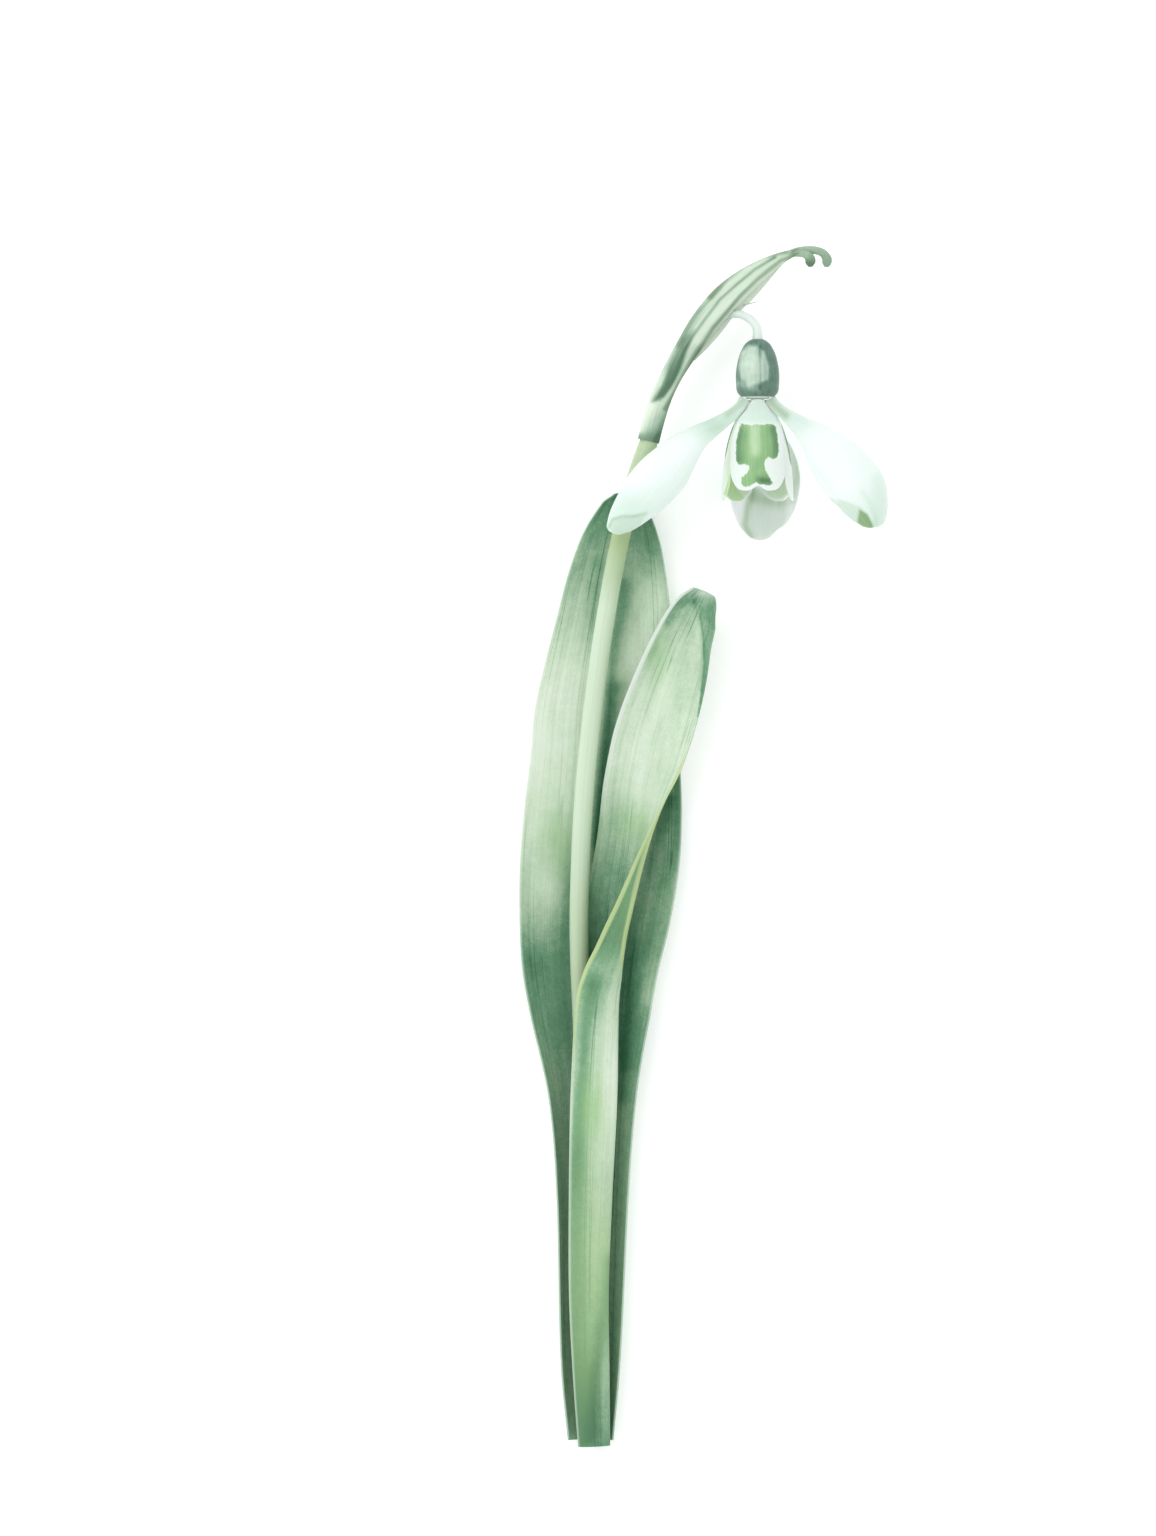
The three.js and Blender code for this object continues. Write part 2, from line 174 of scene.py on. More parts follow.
def toned(tree, tone, stops):
    """The colour for a tone, from pairs of a tone and its colour."""
    ramp = add_node(tree, "ValToRGB", {"Fac": tone})
    elements = ramp.color_ramp.elements
    elements[0].position, elements[0].color = stops[0]
    elements[1].position, elements[1].color = stops[-1]
    for position, colour in stops[1:-1]:
        elements.new(position).color = colour
    return ramp.outputs["Color"]


# %% Helpers for grain, streaks and veins
WAVE_BANDS = 3.18  # the bands that a wave texture of scale 1 lays on a blade
VEIN_STRETCH = 0.12
VEIN_EDGE = 0.62


def stretched_noise(tree, across, along, detail=3.0):
    """Soft noise on the blade's own coordinates, drawn out along it into streaks."""
    place = add_node(tree, "UVMap", {}, uv_map="blade").outputs[0]
    scaled = add_node(tree, "Mapping", {"Vector": place, "Scale": (across, along, 1)}).outputs[0]
    sockets = {"Vector": scaled, "Scale": 1.0, "Detail": detail, "Roughness": 0.6}
    return add_node(tree, "TexNoise", sockets).outputs["Fac"]


def veins(tree, count):
    """Fine lines that run along a blade from end to end: 1 on a line and 0 between the lines."""
    place = add_node(tree, "UVMap", {}, uv_map="blade").outputs[0]
    scaled = add_node(tree, "Mapping", {"Vector": place, "Scale": (1, VEIN_STRETCH, 1)}).outputs[0]
    sockets = {
        "Vector": scaled, "Scale": count / WAVE_BANDS, "Distortion": 0.6, "Detail": 1.5, "Detail Scale": 2.0,
    }
    wave = add_node(tree, "TexWave", sockets, wave_type="BANDS", bands_direction="X").outputs["Fac"]
    return between(tree, wave, VEIN_EDGE, 1.0)


def stray_lines(tree, across, along, width):
    """A few thin lines that come and go along a blade: 1 on a line and 0 beside it."""
    level = stretched_noise(tree, across, along, detail=1.0)
    apart = calculated(tree, "ABSOLUTE", calculated(tree, "SUBTRACT", level, 0.5))
    line = calculated(tree, "SUBTRACT", 1.0, between(tree, apart, 0.0, width))
    shown = between(tree, stretched_noise(tree, across / 3, along * 4, detail=1.0), 0.44, 0.56)
    return calculated(tree, "MULTIPLY", line, shown)


def grain(tree, size):
    """Fine grain in all directions, with the size of its grains in millimetres."""
    place = add_node(tree, "TexCoord", {}).outputs["Object"]
    sockets = {"Vector": place, "Scale": 1 / (size * MM), "Detail": 2.0}
    return add_node(tree, "TexNoise", sockets).outputs["Fac"]


def varied(tree, value, *parts):
    """The value plus each part's noise, taken about its middle, times the part's strength."""
    for noise, strength in parts:
        value = calculated(tree, "MULTIPLY_ADD", calculated(tree, "SUBTRACT", noise, 0.5), strength, value)
    return value


# %% A finish of plant skin
SCATTER_COLOUR = (1.0, 1.0, 0.8)
SCATTER_REACH = 0.8 * MM
BUMP_STRENGTH = 0.6


def plant_skin(name, roughness, see_through, sheen=0.35):
    """A new material for living plant tissue, with its node tree and its shader."""
    material = bpy.data.materials.new(name)
    material.use_nodes = True
    tree = material.node_tree
    shader = tree.nodes["Principled BSDF"]
    shader.inputs["Roughness"].default_value = roughness
    shader.inputs["Specular IOR Level"].default_value = sheen
    shader.inputs["Subsurface Weight"].default_value = see_through
    shader.inputs["Subsurface Radius"].default_value = SCATTER_COLOUR
    shader.inputs["Subsurface Scale"].default_value = SCATTER_REACH
    print("finish:", name)
    return material, tree, shader


def dress(tree, shader, colour, height, depth):
    """Gives the shader its colour, and bump from a height of 0 to 1, as deep as the given millimetres."""
    tree.links.new(colour, shader.inputs["Base Color"])
    bump = add_node(tree, "Bump", {"Height": height, "Strength": BUMP_STRENGTH, "Distance": depth * MM})
    tree.links.new(bump.outputs[0], shader.inputs["Normal"])


# %% [markdown]
# ## Smooth forms from a few stations
# A leaf or petal could be drawn as a curve with a bevel, sculpted, or lofted through sections. Here each
# blade is a formula on two shares: u runs along it from its base, and v across it from one margin at -1
# to the other at 1. A short list of stations says where the blade's middle is and how wide, bent and
# turned it is there, and a smooth curve joins the stations. Nearly the same list gives the solid, so the
# two agree, and the shares are later used to place veins, marks and colours.

# %% Curves through stations
UP = np.array([0.0, 0.0, 1.0])
SMALL_STEP = 0.002


def smooth(stations, share):
    """The values of a list of stations at a share of its length, on a smooth curve through them."""
    rows = np.array(stations, float)
    rows = np.vstack([2 * rows[0] - rows[1], rows, 2 * rows[-1] - rows[-2]])
    place = np.clip(share, 0, 1) * (len(rows) - 3)
    first = np.minimum(place.astype(int), len(rows) - 4)
    t = (place - first)[..., None]
    before, start, end, after = (rows[first + step] for step in range(4))
    leave = (end - before) / 2
    arrive = (after - start) / 2
    square = 3 * (end - start) - 2 * leave - arrive
    cube = 2 * (start - end) + leave + arrive
    return start + t * (leave + t * (square + t * cube))


def unit(vectors):
    """The vectors, each made 1 long."""
    return vectors / np.linalg.norm(vectors, axis=-1, keepdims=True)


def directions(stations, share):
    """Unit vectors upwards from the curve and to its side."""
    ahead, behind = smooth(stations, share + SMALL_STEP), smooth(stations, share - SMALL_STEP)
    along = unit((ahead - behind)[..., :3])
    up = unit(UP - along * along[..., 2:])
    return up, np.cross(along, up)


# %% Surfaces of blades and rolls
def blade(stations, turn=0, reach=None):
    """The middle surface of a blade tipped by turn. Its stations are x, y, z, half width and curl."""
    face = np.radians(turn)

    def surface(u, v):
        at = u if reach is None else u * reach(v)
        up, side = directions(stations, at)
        middle = smooth(stations, at)
        half, curl = np.moveaxis(middle, -1, 0)[3:]
        bend = np.radians(np.maximum(curl, 1)) / 2
        across = half / bend * np.sin(v * bend)
        depth = half / bend * (1 - np.cos(v * bend))
        sideways = across * np.cos(face) - depth * np.sin(face)
        upwards = across * np.sin(face) + depth * np.cos(face)
        return middle[..., :3] + side * sideways[..., None] + up * upwards[..., None]
    return surface


def roll(stations):
    """The middle surface of a roll with upright sections. Its stations are x, y, z, radius and two angles."""
    def surface(u, v):
        _, side = directions(stations, u)
        middle = smooth(stations, u)
        radius, start, end = np.moveaxis(middle, -1, 0)[3:]
        turn = np.radians(start + (end - start) * (v + 1) / 2)
        sideways, down = radius * np.sin(turn), radius * np.cos(turn)
        return middle[..., :3] + side * sideways[..., None] - UP * down[..., None]
    return surface


# %% [markdown]
# ## From a surface to a thin closed piece
# The Solidify modifier could thicken a surface, but its margins would be square. Here the two faces are
# made directly, a little way to each side of the middle surface, and they draw together towards the
# margins, so an edge is as thin as a real one. The lines across the blade lie closer near its margins.
# Each point keeps its two shares, and whether it is on the outer or the inner face.

# %% What a form holds
class Form:
    """Points in millimetres, each with its two shares and with inside at 1 on a sheet's inner face."""
    def __init__(self, points, faces, u, v, inside):
        self.points, self.faces, self.u, self.v, self.inside = points, faces, u, v, inside
        self.x, self.y, self.z = points.T


# %% Sheets with thin margins
MARGIN = 0.25  # a sheet's thickness at its margins, as a share of its thickness in the middle


def sheet(surface, rows, columns, thickness, tip=0.0, relief=None):
    """The points and faces of a closed thin sheet. Its last part, a share called tip, ends round."""
    u, s = np.meshgrid(np.linspace(0, 1, rows + 1), np.linspace(-1, 1, columns + 1), indexing="ij")
    v = np.sin(s * np.pi / 2)
    if tip:
        beyond = np.clip((u - 1 + tip) / tip, 0, 0.999)
        v = v * np.sqrt(1 - beyond**2)
    step = 2 * SMALL_STEP
    lengthwise = surface(np.minimum(u + step, 1), v) - surface(np.maximum(u - step, 0), v)
    crosswise = surface(u, np.minimum(v + step, 1)) - surface(u, np.maximum(v - step, -1))
    hollow = unit(np.cross(crosswise, lengthwise))
    half = thickness / 2 * (MARGIN + (1 - MARGIN) * np.sqrt(1 - s**2))
    raised = half if relief is None else half + relief(u, v)
    outer = surface(u, v) - hollow * raised[..., None]
    inner = surface(u, v) + hollow * half[..., None]
    points = np.concatenate([outer.reshape(-1, 3), inner.reshape(-1, 3)])
    corner = np.arange(rows)[:, None] * (columns + 1) + np.arange(columns)
    quads = np.stack([corner, corner + columns + 1, corner + columns + 2, corner + 1], -1).reshape(-1, 4)
    under = (rows + 1) * (columns + 1)
    last = rows * (columns + 1)
    edge = [*range(columns), *range(columns, last + columns, columns + 1)]
    edge += [*range(last + columns, last, -1), *range(last, 0, -columns - 1)]
    after = edge[1:] + edge[:1]
    rim = np.array([[a, b, under + b, under + a] for a, b in zip(edge, after)])
    faces = np.concatenate([quads, quads[:, ::-1] + under, rim]).tolist()
    return Form(points, faces, np.tile(u.ravel(), 2), np.tile(v.ravel(), 2), np.repeat([0.0, 1.0], under))


# %% Round stalks
def tube_faces(sides, steps):
    """The faces between the rings of a round form."""
    here = np.arange(sides)
    there = (here + 1) % sides
    corner = np.arange(steps)[:, None] * sides
    quads = [corner + here, corner + there, corner + sides + there, corner + sides + here]
    return np.stack(quads, -1).reshape(-1, 4).tolist()


def stalk(stations, sides, steps, ripple=None):
    """The points and faces of a round stalk through stations of x, y, z and radius."""
    u, turn = np.meshgrid(np.linspace(0, 1, steps + 1), np.arange(sides) * 2 * np.pi / sides, indexing="ij")
    up, side = directions(stations, u)
    row = smooth(stations, u)
    radius = row[..., 3] if ripple is None else row[..., 3] * ripple(u, turn)
    ring = up * (radius * np.cos(turn))[..., None] + side * (radius * np.sin(turn))[..., None]
    ends = [list(range(sides)), list(range(steps * sides, (steps + 1) * sides))]
    faces = tube_faces(sides, steps) + ends
    points = (row[..., :3] + ring).reshape(-1, 3)
    return Form(points, faces, u.ravel(), turn.ravel() / np.pi - 1, 0 * u.ravel())


# %% [markdown]
# ## From points to a piece of the scene
# Every piece is made the same way. Its points go into a mesh in metres, its shares become a UV map called
# blade, and each brush, a function of the form, gives every point a value that the finish turns into
# colour. Then the piece is tied to the shoot's body and stands for its solid.

# %% Making a piece
SHARP_ANGLE = np.radians(50)


def make_piece(name, forms, finish, replaced, brushes):
    """A piece of the scene from one or more forms, with its values brushed on, tied to the shoot's body."""
    mesh = bpy.data.meshes.new(name)
    starts = np.cumsum([0] + [len(form.points) for form in forms])
    points = np.concatenate([form.points for form in forms]) * MM
    faces = [[start + i for i in face] for start, form in zip(starts, forms) for face in form.faces]
    mesh.from_pydata(points.tolist(), [], faces)
    u, v = np.concatenate([[form.u, form.v] for form in forms], axis=1)
    corner = np.zeros(len(mesh.loops), int)
    mesh.loops.foreach_get("vertex_index", corner)
    place = np.stack([(v[corner] + 1) / 2, u[corner]], -1)
    mesh.uv_layers.new(name="blade").uv.foreach_set("vector", place.astype(np.float32).ravel())
    for brush_name, brush in brushes.items():
        values = np.concatenate([np.broadcast_to(brush(form), len(form.points)) for form in forms])
        mesh.attributes.new(brush_name, "FLOAT", "POINT").data.foreach_set("value", values.astype(np.float32))
    turn_outward(mesh)
    mesh.set_sharp_from_angle(angle=SHARP_ANGLE)
    mesh.materials.append(finish)
    piece = bpy.data.objects.new(name, mesh)
    bpy.context.collection.objects.link(piece)
    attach(piece, "root")
    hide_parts(*replaced)
    low, high = points.min(0) / MM, points.max(0) / MM
    print(name, "triangles:", sum(len(face) - 2 for face in faces), "mm:", low.round(1), "to", high.round(1))


def turn_outward(mesh):
    """Turns every face so that it looks out of its closed form."""
    form = bmesh.new()
    form.from_mesh(mesh)
    bmesh.ops.recalc_face_normals(form, faces=form.faces)
    form.to_mesh(mesh)
    form.free()
    mesh.shade_smooth()


# %% [markdown]
# ## The sheet it lies on
# The table is a wide white sheet, just below the shoot. It glows a little of itself, as a light box does,
# so only the softest shadows show on it.

# %% The sheet
FLOOR_SIZE = 6.0
FLOOR_DROP = 0.02 * MM
FLOOR_GLOW = 0.3

half = FLOOR_SIZE / 2
floor_mesh = bpy.data.meshes.new("table")
corners = [(x, y, -FLOOR_DROP) for x, y in ((-half, -half), (half, -half), (half, half), (-half, half))]
floor_mesh.from_pydata(corners, [], [(0, 1, 2, 3)])
floor = bpy.data.objects.new("table", floor_mesh)
bpy.context.collection.objects.link(floor)
white_sheet, tree, shader = plant_skin("white_sheet", roughness=0.9, see_through=0.0, sheen=0.1)
shader.inputs["Base Color"].default_value = (0.9, 0.9, 0.9, 1.0)
shader.inputs["Emission Color"].default_value = (1.0, 1.0, 1.0, 1.0)
shader.inputs["Emission Strength"].default_value = FLOOR_GLOW
floor_mesh.materials.append(white_sheet)

# %% [markdown]
# ## Brushes
# Colour could come from painted images. Here it is brushed onto the points of each piece by small
# functions instead, seen from above, in millimetres: a tone that changes along the shoot, soft spots,
# strokes along a line, and patches with an outline. The finishes add the streaks and the grain.

# %% Soft steps and spots
def step_up(value, low, high):
    """0 below low, 1 above high and a soft step between them."""
    share = np.clip((value - low) / (high - low), 0, 1)
    return share * share * (3 - 2 * share)


def near(value, middle, reach):
    """1 where the value is at the middle, falling softly to 0 beyond its reach."""
    return np.exp(-(((value - middle) / reach) ** 2))


def along_shoot(form, places):
    """A value that follows y, the way along the shoot, through pairs of y and value."""
    return np.interp(form.y, *np.array(places).T)


def spots(form, places):
    """The sum of soft spots. Each is x and y on the table, its reach both ways and its strength."""
    return sum(
        strength * near(form.x, x, wide) * near(form.y, y, long)
        for x, y, wide, long, strength in places
    )


# %% Strokes and patches
STROKE_REACH = 0.625  # how softly a stroke fades, as a share of its width


def off_line(form, line):
    """How far each point lies from a line on the table, in millimetres."""
    place = form.points[:, :2]
    corners = np.array(line, float)
    nearest = np.full(len(place), np.inf)
    for start, end in zip(corners[:-1], corners[1:]):
        way = end - start
        share = np.clip((place - start) @ way / (way @ way), 0, 1)
        nearest = np.minimum(nearest, np.linalg.norm(place - start - share[:, None] * way, axis=1))
    return nearest


def stroke(form, line, width):
    """A soft stroke along a line on the table: 1 on the line, and nearly 0 its width away from it."""
    return near(off_line(form, line), 0, STROKE_REACH * width)


def strokes(form, *parts):
    """The sum of soft strokes. Each part is a line, its width and its strength."""
    return sum(strength * stroke(form, line, width) for line, width, strength in parts)


def depth_in(form, outline):
    """How deep each point lies inside an outline on the table, in millimetres, and below 0 outside it."""
    closed = outline + outline[:1]
    inside = np.zeros(len(form.x), bool)
    for (x0, y0), (x1, y1) in zip(closed[:-1], closed[1:]):
        if y0 != y1:
            crossed = x0 + (x1 - x0) * (form.y - y0) / (y1 - y0)
            inside ^= ((y0 > form.y) != (y1 > form.y)) & (form.x < crossed)
    return np.where(inside, 1, -1) * off_line(form, closed)


def patch(form, outline, softness):
    """A filled outline on the table: 1 inside it and 0 outside, with an edge as soft as asked for."""
    return step_up(depth_in(form, outline), -softness / 2, softness / 2)


# %% [markdown]
# ## The skin of the leaves
# Snowdrop leaves are blue-green, dark where the leaf is thick, and covered elsewhere by a pale waxy
# bloom. The brushed tone also holds painted shade where other parts shade a leaf, and a painted sheen
# on its pale middle. One colour with a gradient would look like plastic, so the finish mixes five greens
# by a brushed tone and breaks that tone into lengthwise streaks and washes. Thin veins show here and
# there, and pale margins, yellow-green lines and fresher green are brushed on top.

# %% Leaf finish
LEAF_TONES = [
    (0.0, paint(236, 248, 232)), (0.2, paint(216, 234, 211)), (0.45, paint(182, 208, 180)),
    (0.72, paint(118, 164, 131)), (1.0, paint(64, 117, 87)),
]
LEAF_FRESH = paint(160, 205, 142)
LEAF_PALE = paint(238, 248, 238)
LEAF_GOLD = paint(200, 220, 158)


def leaf_skin(name, vein_count):
    """A leaf's finish, from the brushes tone, fresh, pale and gold."""
    material, tree, shader = plant_skin(name, roughness=0.6, see_through=0.12, sheen=0.2)
    streaks = stretched_noise(tree, across=17, along=2.4, detail=6)
    washes = stretched_noise(tree, across=4, along=10, detail=5)
    lines = veins(tree, vein_count)
    strays = stray_lines(tree, across=12, along=1.1, width=0.016)
    tone = varied(tree, brushed(tree, "tone"), (streaks, 0.36), (washes, 0.5))
    tone = varied(tree, tone, (grain(tree, 0.35), 0.2), (grain(tree, 1.1), 0.16))
    tone = calculated(tree, "MULTIPLY_ADD", strays, 0.26, tone)
    colour = toned(tree, tone, LEAF_TONES)
    fresh = calculated(
        tree, "MULTIPLY", brushed(tree, "fresh"), varied(tree, 1.0, (washes, 2.0), (streaks, 1.0))
    )
    colour = mixed(tree, calculated(tree, "MINIMUM", fresh, 1.0, clamp=True), colour, LEAF_FRESH)
    colour = mixed(tree, brushed(tree, "pale"), colour, LEAF_PALE)
    colour = mixed(tree, brushed(tree, "gold"), colour, LEAF_GOLD)
    tree.links.new(calculated(tree, "MULTIPLY_ADD", streaks, 0.2, 0.45), shader.inputs["Roughness"])
    dress(tree, shader, colour, calculated(tree, "MULTIPLY_ADD", lines, 0.3, streaks), depth=0.06)
    return material


broad_leaf_skin = leaf_skin("broad_leaf_skin", vein_count=26)
rolled_leaf_skin = leaf_skin("rolled_leaf_skin", vein_count=22)

# %% [markdown]
# ## The broad leaf below
# This leaf lies under the stem as a shallow channel and narrows to a half pipe at the cut end. It is dark
# at its tip and its base, and pale with bloom and a painted sheen on its broad middle. Beside the stem it
# is darker again, and right of the stem and under the other leaf that darkening is painted shade.

# %% Broad leaf form
BROAD_LEAF = [
    [-16.9, -89.2, 0.25, 4.5, 150], [-16.9, -76.6, 0.25, 6.0, 150], [-16.6, -52.9, 0.25, 6.9, 140],
    [-16.6, -37.9, 0.25, 8.0, 125], [-16.9, -25.3, 0.25, 10.2, 100], [-16.9, -17.2, 0.25, 11.4, 85],
    [-16.2, -9.4, 0.25, 12.3, 75], [-15.5, -1.8, 0.25, 12.7, 68], [-15.0, 6.0, 0.25, 12.4, 62],
    [-14.7, 13.8, 0.25, 11.7, 58], [-14.5, 19.9, 0.25, 11.3, 55], [-14.0, 26.7, 0.5, 10.2, 52],
    [-13.4, 33.4, 0.8, 9.0, 50], [-12.9, 39.6, 1.2, 7.9, 50], [-12.4, 45.4, 1.7, 6.4, 50],
    [-12.1, 49.4, 2.0, 4.7, 50], [-12.1, 52.0, 2.3, 3.0, 50], [-12.2, 53.3, 2.4, 1.0, 50],
]
BROAD_LEAF_THICKNESS = 0.5
LEAF_MESH = 330, 120
LEAF_TIP = 0.012


def rest_on_table(form):
    """The form with what would reach below the table pressed flat on it."""
    form.points[:, 2] = np.maximum(form.z, 0)
    return form


broad_leaf = rest_on_table(sheet(blade(BROAD_LEAF), *LEAF_MESH, BROAD_LEAF_THICKNESS, LEAF_TIP))
print("broad leaf points:", len(broad_leaf.points))

# %% Broad leaf colours
# The pale middle of this tone is partly waxy bloom and partly a painted sheen.
BROAD_TONE = [
    (-90, 0.66), (-60, 0.62), (-35, 0.64), (-26, 0.74), (-17, 0.76), (-11, 0.52), (-3, 0.34), (3, 0.2),
    (9, 0.07), (15, 0.0), (21, 0.03), (27, 0.12), (33, 0.34), (39, 0.48), (44, 0.57), (50, 0.82), (53, 0.86),
]
LEFT_OF_STEM = [(-15.5, 42.3), (-17, 29.55), (-18.4, 17.55), (-19.4, 7.05), (-20, -4.95), (-20.3, -12.45)]
# Painted shadow of the stem, along its right side.
SHADOW_RIGHT_OF_STEM = [
    (-11.9, 39.3), (-12.4, 35.55), (-13.4, 29.55), (-14.15, 22.05), (-14.9, 14.55), (-15.5, 7.05),
    (-15.8, -1.95),
]
# Painted shade under the rolled leaf.
SHADE_UNDER_LEAF = [(-12.65, 23.55), (-13.7, 16.05), (-14.6, 8.55), (-15.05, 1.05)]
# Painted shade on the right side, where the rolled leaf shades this leaf.
SHADE_RIGHT_SIDE = [(-2, 10.8), (-2.6, -0.45), (-4.7, -7.95), (-8, -16.95), (-10.1, -24.45), (-11.3, -31.95)]
RIGHT_RIM = [(-2.9, -1.95), (-5.3, -8.7), (-7.1, -15.45), (-8.3, -22.95)]
SHADOW_OF_ROLL = [
    (-5, 7.05), (-7.55, -0.45), (-9.2, -6.45), (-10.4, -12.45), (-11.9, -28.95), (-12.4, -37.95),
]
BROAD_SPOTS = [
    (-23.5, 50, 2.0, 3.0, 0.1), (-8, 45, 3, 4, 0.12), (-7.0, 37, 2.4, 4.5, -0.2), (-9.2, 31, 2.0, 4, -0.1),
    (-24, -6.5, 2.5, 3.5, -0.14), (-20.4, -3.5, 1.5, 4, 0.1), (-25, -17.5, 2, 3, 0.06),
]


def broad_leaf_tone(form):
    shade = along_shoot(form, [(0, 0.6), (12, 0.6), (20, 0.56), (27, 0.46), (36, 0.3)])
    tone = along_shoot(form, BROAD_TONE) + shade * stroke(form, SHADOW_RIGHT_OF_STEM, 1.9)
    tone = tone + strokes(form, (LEFT_OF_STEM, 2.2, 0.16), (SHADE_UNDER_LEAF, 2.6, 0.4))
    tone = np.maximum(tone, 0.8 * stroke(form, SHADE_RIGHT_SIDE, 9.0))
    tone = tone + strokes(form, (RIGHT_RIM, 2.2, -0.2), (SHADOW_OF_ROLL, 1.6, 0.26))
    return tone + spots(form, BROAD_SPOTS)


broad_leaf_brushes = {
    "tone": broad_leaf_tone,
    "fresh": lambda form: spots(form, [(-22, 1, 3.0, 6, 0.4), (-23, 11, 3, 6, 0.1), (-12, 27, 1.5, 5, 0.1)]),
    "pale": lambda form: 0.35 * step_up(np.abs(form.v), 0.975, 0.995),
    "gold": lambda form: 0.0,
}
make_piece("leaf_back_blade", [broad_leaf], broad_leaf_skin, ["leaf_back"], broad_leaf_brushes)

# %% [markdown]
# ## The rolled leaf in front
# Below, this leaf is rolled round the stem like a sheath, and its front margin shows as a bright
# yellow-green line. Further up that margin swings over to the right, and the blade opens to a channel
# that shows its pale upper face, pale partly from a painted sheen. The midrib is a second yellow-green
# line, on the shoulder of the roll. Near the tip the right margin folds over, and its steep flank shows a
# dark strip of shade. The fold could be modelled too, but it lies so flat that a patch of painted shade is
# enough. The two faces have tones of their own.

# %% Rolled leaf form
ROLLED_LEAF = [
    [-16.6, -90.0, 1.6, 2.45, -25, 240], [-17.05, -79.0, 1.6, 2.8, -28, 242],
    [-17.4, -66.8, 1.6, 3.05, -30, 242], [-17.15, -51.8, 1.6, 3.35, -30, 242],
    [-16.7, -37.9, 1.6, 3.6, -30, 242], [-16.4, -24.4, 1.6, 3.55, -30, 232],
    [-16.15, -19.3, 1.65, 3.75, -30, 212], [-15.95, -14.7, 1.7, 4.1, -30, 182],
    [-15.5, -9.5, 1.75, 4.65, -30, 158], [-13.55, 0.8, 1.85, 5.2, -28, 124], [-11.7, 8.8, 2.2, 6.2, -33, 92],
    [-9.4, 15.0, 2.8, 7.3, -38, 70], [-7.3, 20.6, 3.4, 7.6, -39, 60], [-5.7, 26.1, 3.9, 7.3, -35, 59],
    [-4.0, 31.3, 4.6, 6.1, -34, 62], [-2.4, 34.9, 5.3, 5.1, -34, 65], [-1.1, 37.1, 6.2, 3.6, -36, 68],
    [-0.4, 38.6, 7.2, 2.3, -30, 72],
]
ROLLED_LEAF_THICKNESS = 0.4

rolled_stations = [[x, y, low + radius, radius, *angles] for x, y, low, radius, *angles in ROLLED_LEAF]
rolled_leaf = sheet(roll(rolled_stations), *LEAF_MESH, ROLLED_LEAF_THICKNESS, LEAF_TIP)
print("rolled leaf points:", len(rolled_leaf.points))

# %% Tones of its upper face
# The pale stretch of this tone is partly a painted sheen.
UPPER_TONE = [
    (-90, 0.8), (-12, 0.8), (-8, 0.72), (-3, 0.52), (3, 0.43), (8, 0.26), (13, 0.17), (20, 0.22), (27, 0.32),
    (32, 0.42), (35, 0.5), (39, 0.6),
]
UPPER_SPOTS = [
    (-7.5, 30, 1.2, 3.5, 0.12), (-13.6, 3.5, 2.0, 4.5, 0.08), (-15.5, -3, 2.0, 3.0, 0.06),
    (-7.5, 5, 2.5, 4.5, -0.15), (-0.6, 33, 1.2, 3.0, -0.1), (-5.5, 23, 1.0, 4.0, -0.08),
    (-12.3, -3.5, 2.4, 3.2, 0.12),
]
# FOLD is painted shade on the steep flank of the folded-over margin, and FOLD_EDGE a line of painted shade
# along the fold.
FOLD = [
    (-2, 37.5), (-1, 37.05), (-0.65, 34.5), (-0.2, 31.35), (-0.05, 27.6), (-0.5, 23.1), (-1, 19.5),
    (-0.05, 19.2), (1.25, 28.05), (2.5, 37.05), (1.25, 38.55), (-0.5, 37.95),
]
FOLD_EDGE = [(-1.4, 37.05), (-0.65, 34.5), (-0.2, 31.35), (-0.05, 27.6), (-0.5, 23.55)]
TIP_SHADE = [(-5.3, 33.75), (-3.95, 36), (-2.3, 37.05), (-1, 37.05)]


def upper_tone(form):
    tone = along_shoot(form, UPPER_TONE) + spots(form, UPPER_SPOTS) + 0.2 * stroke(form, TIP_SHADE, 1.2)
    return np.maximum(tone, 0.68 * patch(form, FOLD, 0.5)) + 0.15 * stroke(form, FOLD_EDGE, 0.5)


# %% Tones of its outer face
OUTER_TONE = [
    (-90, 0.86), (-86, 0.72), (-81, 0.62), (-75, 0.54), (-69, 0.5), (-60, 0.45), (-50, 0.38), (-45, 0.24),
    (-40, 0.14), (-33, 0.08), (-27, 0.2), (-22, 0.34), (-18, 0.6), (-14, 0.84), (-6, 0.88), (0, 0.84),
    (5, 0.8), (39, 0.7),
]
OUTER_SPOTS = [(-10, -1, 1.6, 3, 0.12), (-13, -9, 1.6, 4, 0.08), (-17.6, -52, 1.6, 10, -0.05)]
LEFT_CONTOUR = [
    (-16.4, -20.7), (-17.75, -27.45), (-18.5, -37.95), (-18.95, -48.45), (-19.1, -60.45), (-18.95, -72.45),
    (-18.5, -87.45),
]
LEFT_STRENGTH = [(-60, 0.42), (-53, 0.5), (-46, 0.64), (-35, 0.7), (-26, 0.56), (-20, 0.46)]
BASE_SHADE = [(-14.15, -62.25), (-14.9, -69.45), (-15.8, -75.75), (-16.7, -81.75), (-17.2, -87.75)]


def outer_tone(form):
    left = along_shoot(form, LEFT_STRENGTH) * stroke(form, LEFT_CONTOUR, 3.0)
    tone = along_shoot(form, OUTER_TONE) + left + spots(form, OUTER_SPOTS)
    return tone + 0.34 * stroke(form, BASE_SHADE, 1.8)


def rolled_leaf_tone(form):
    return np.where(form.inside > 0, upper_tone(form), outer_tone(form))


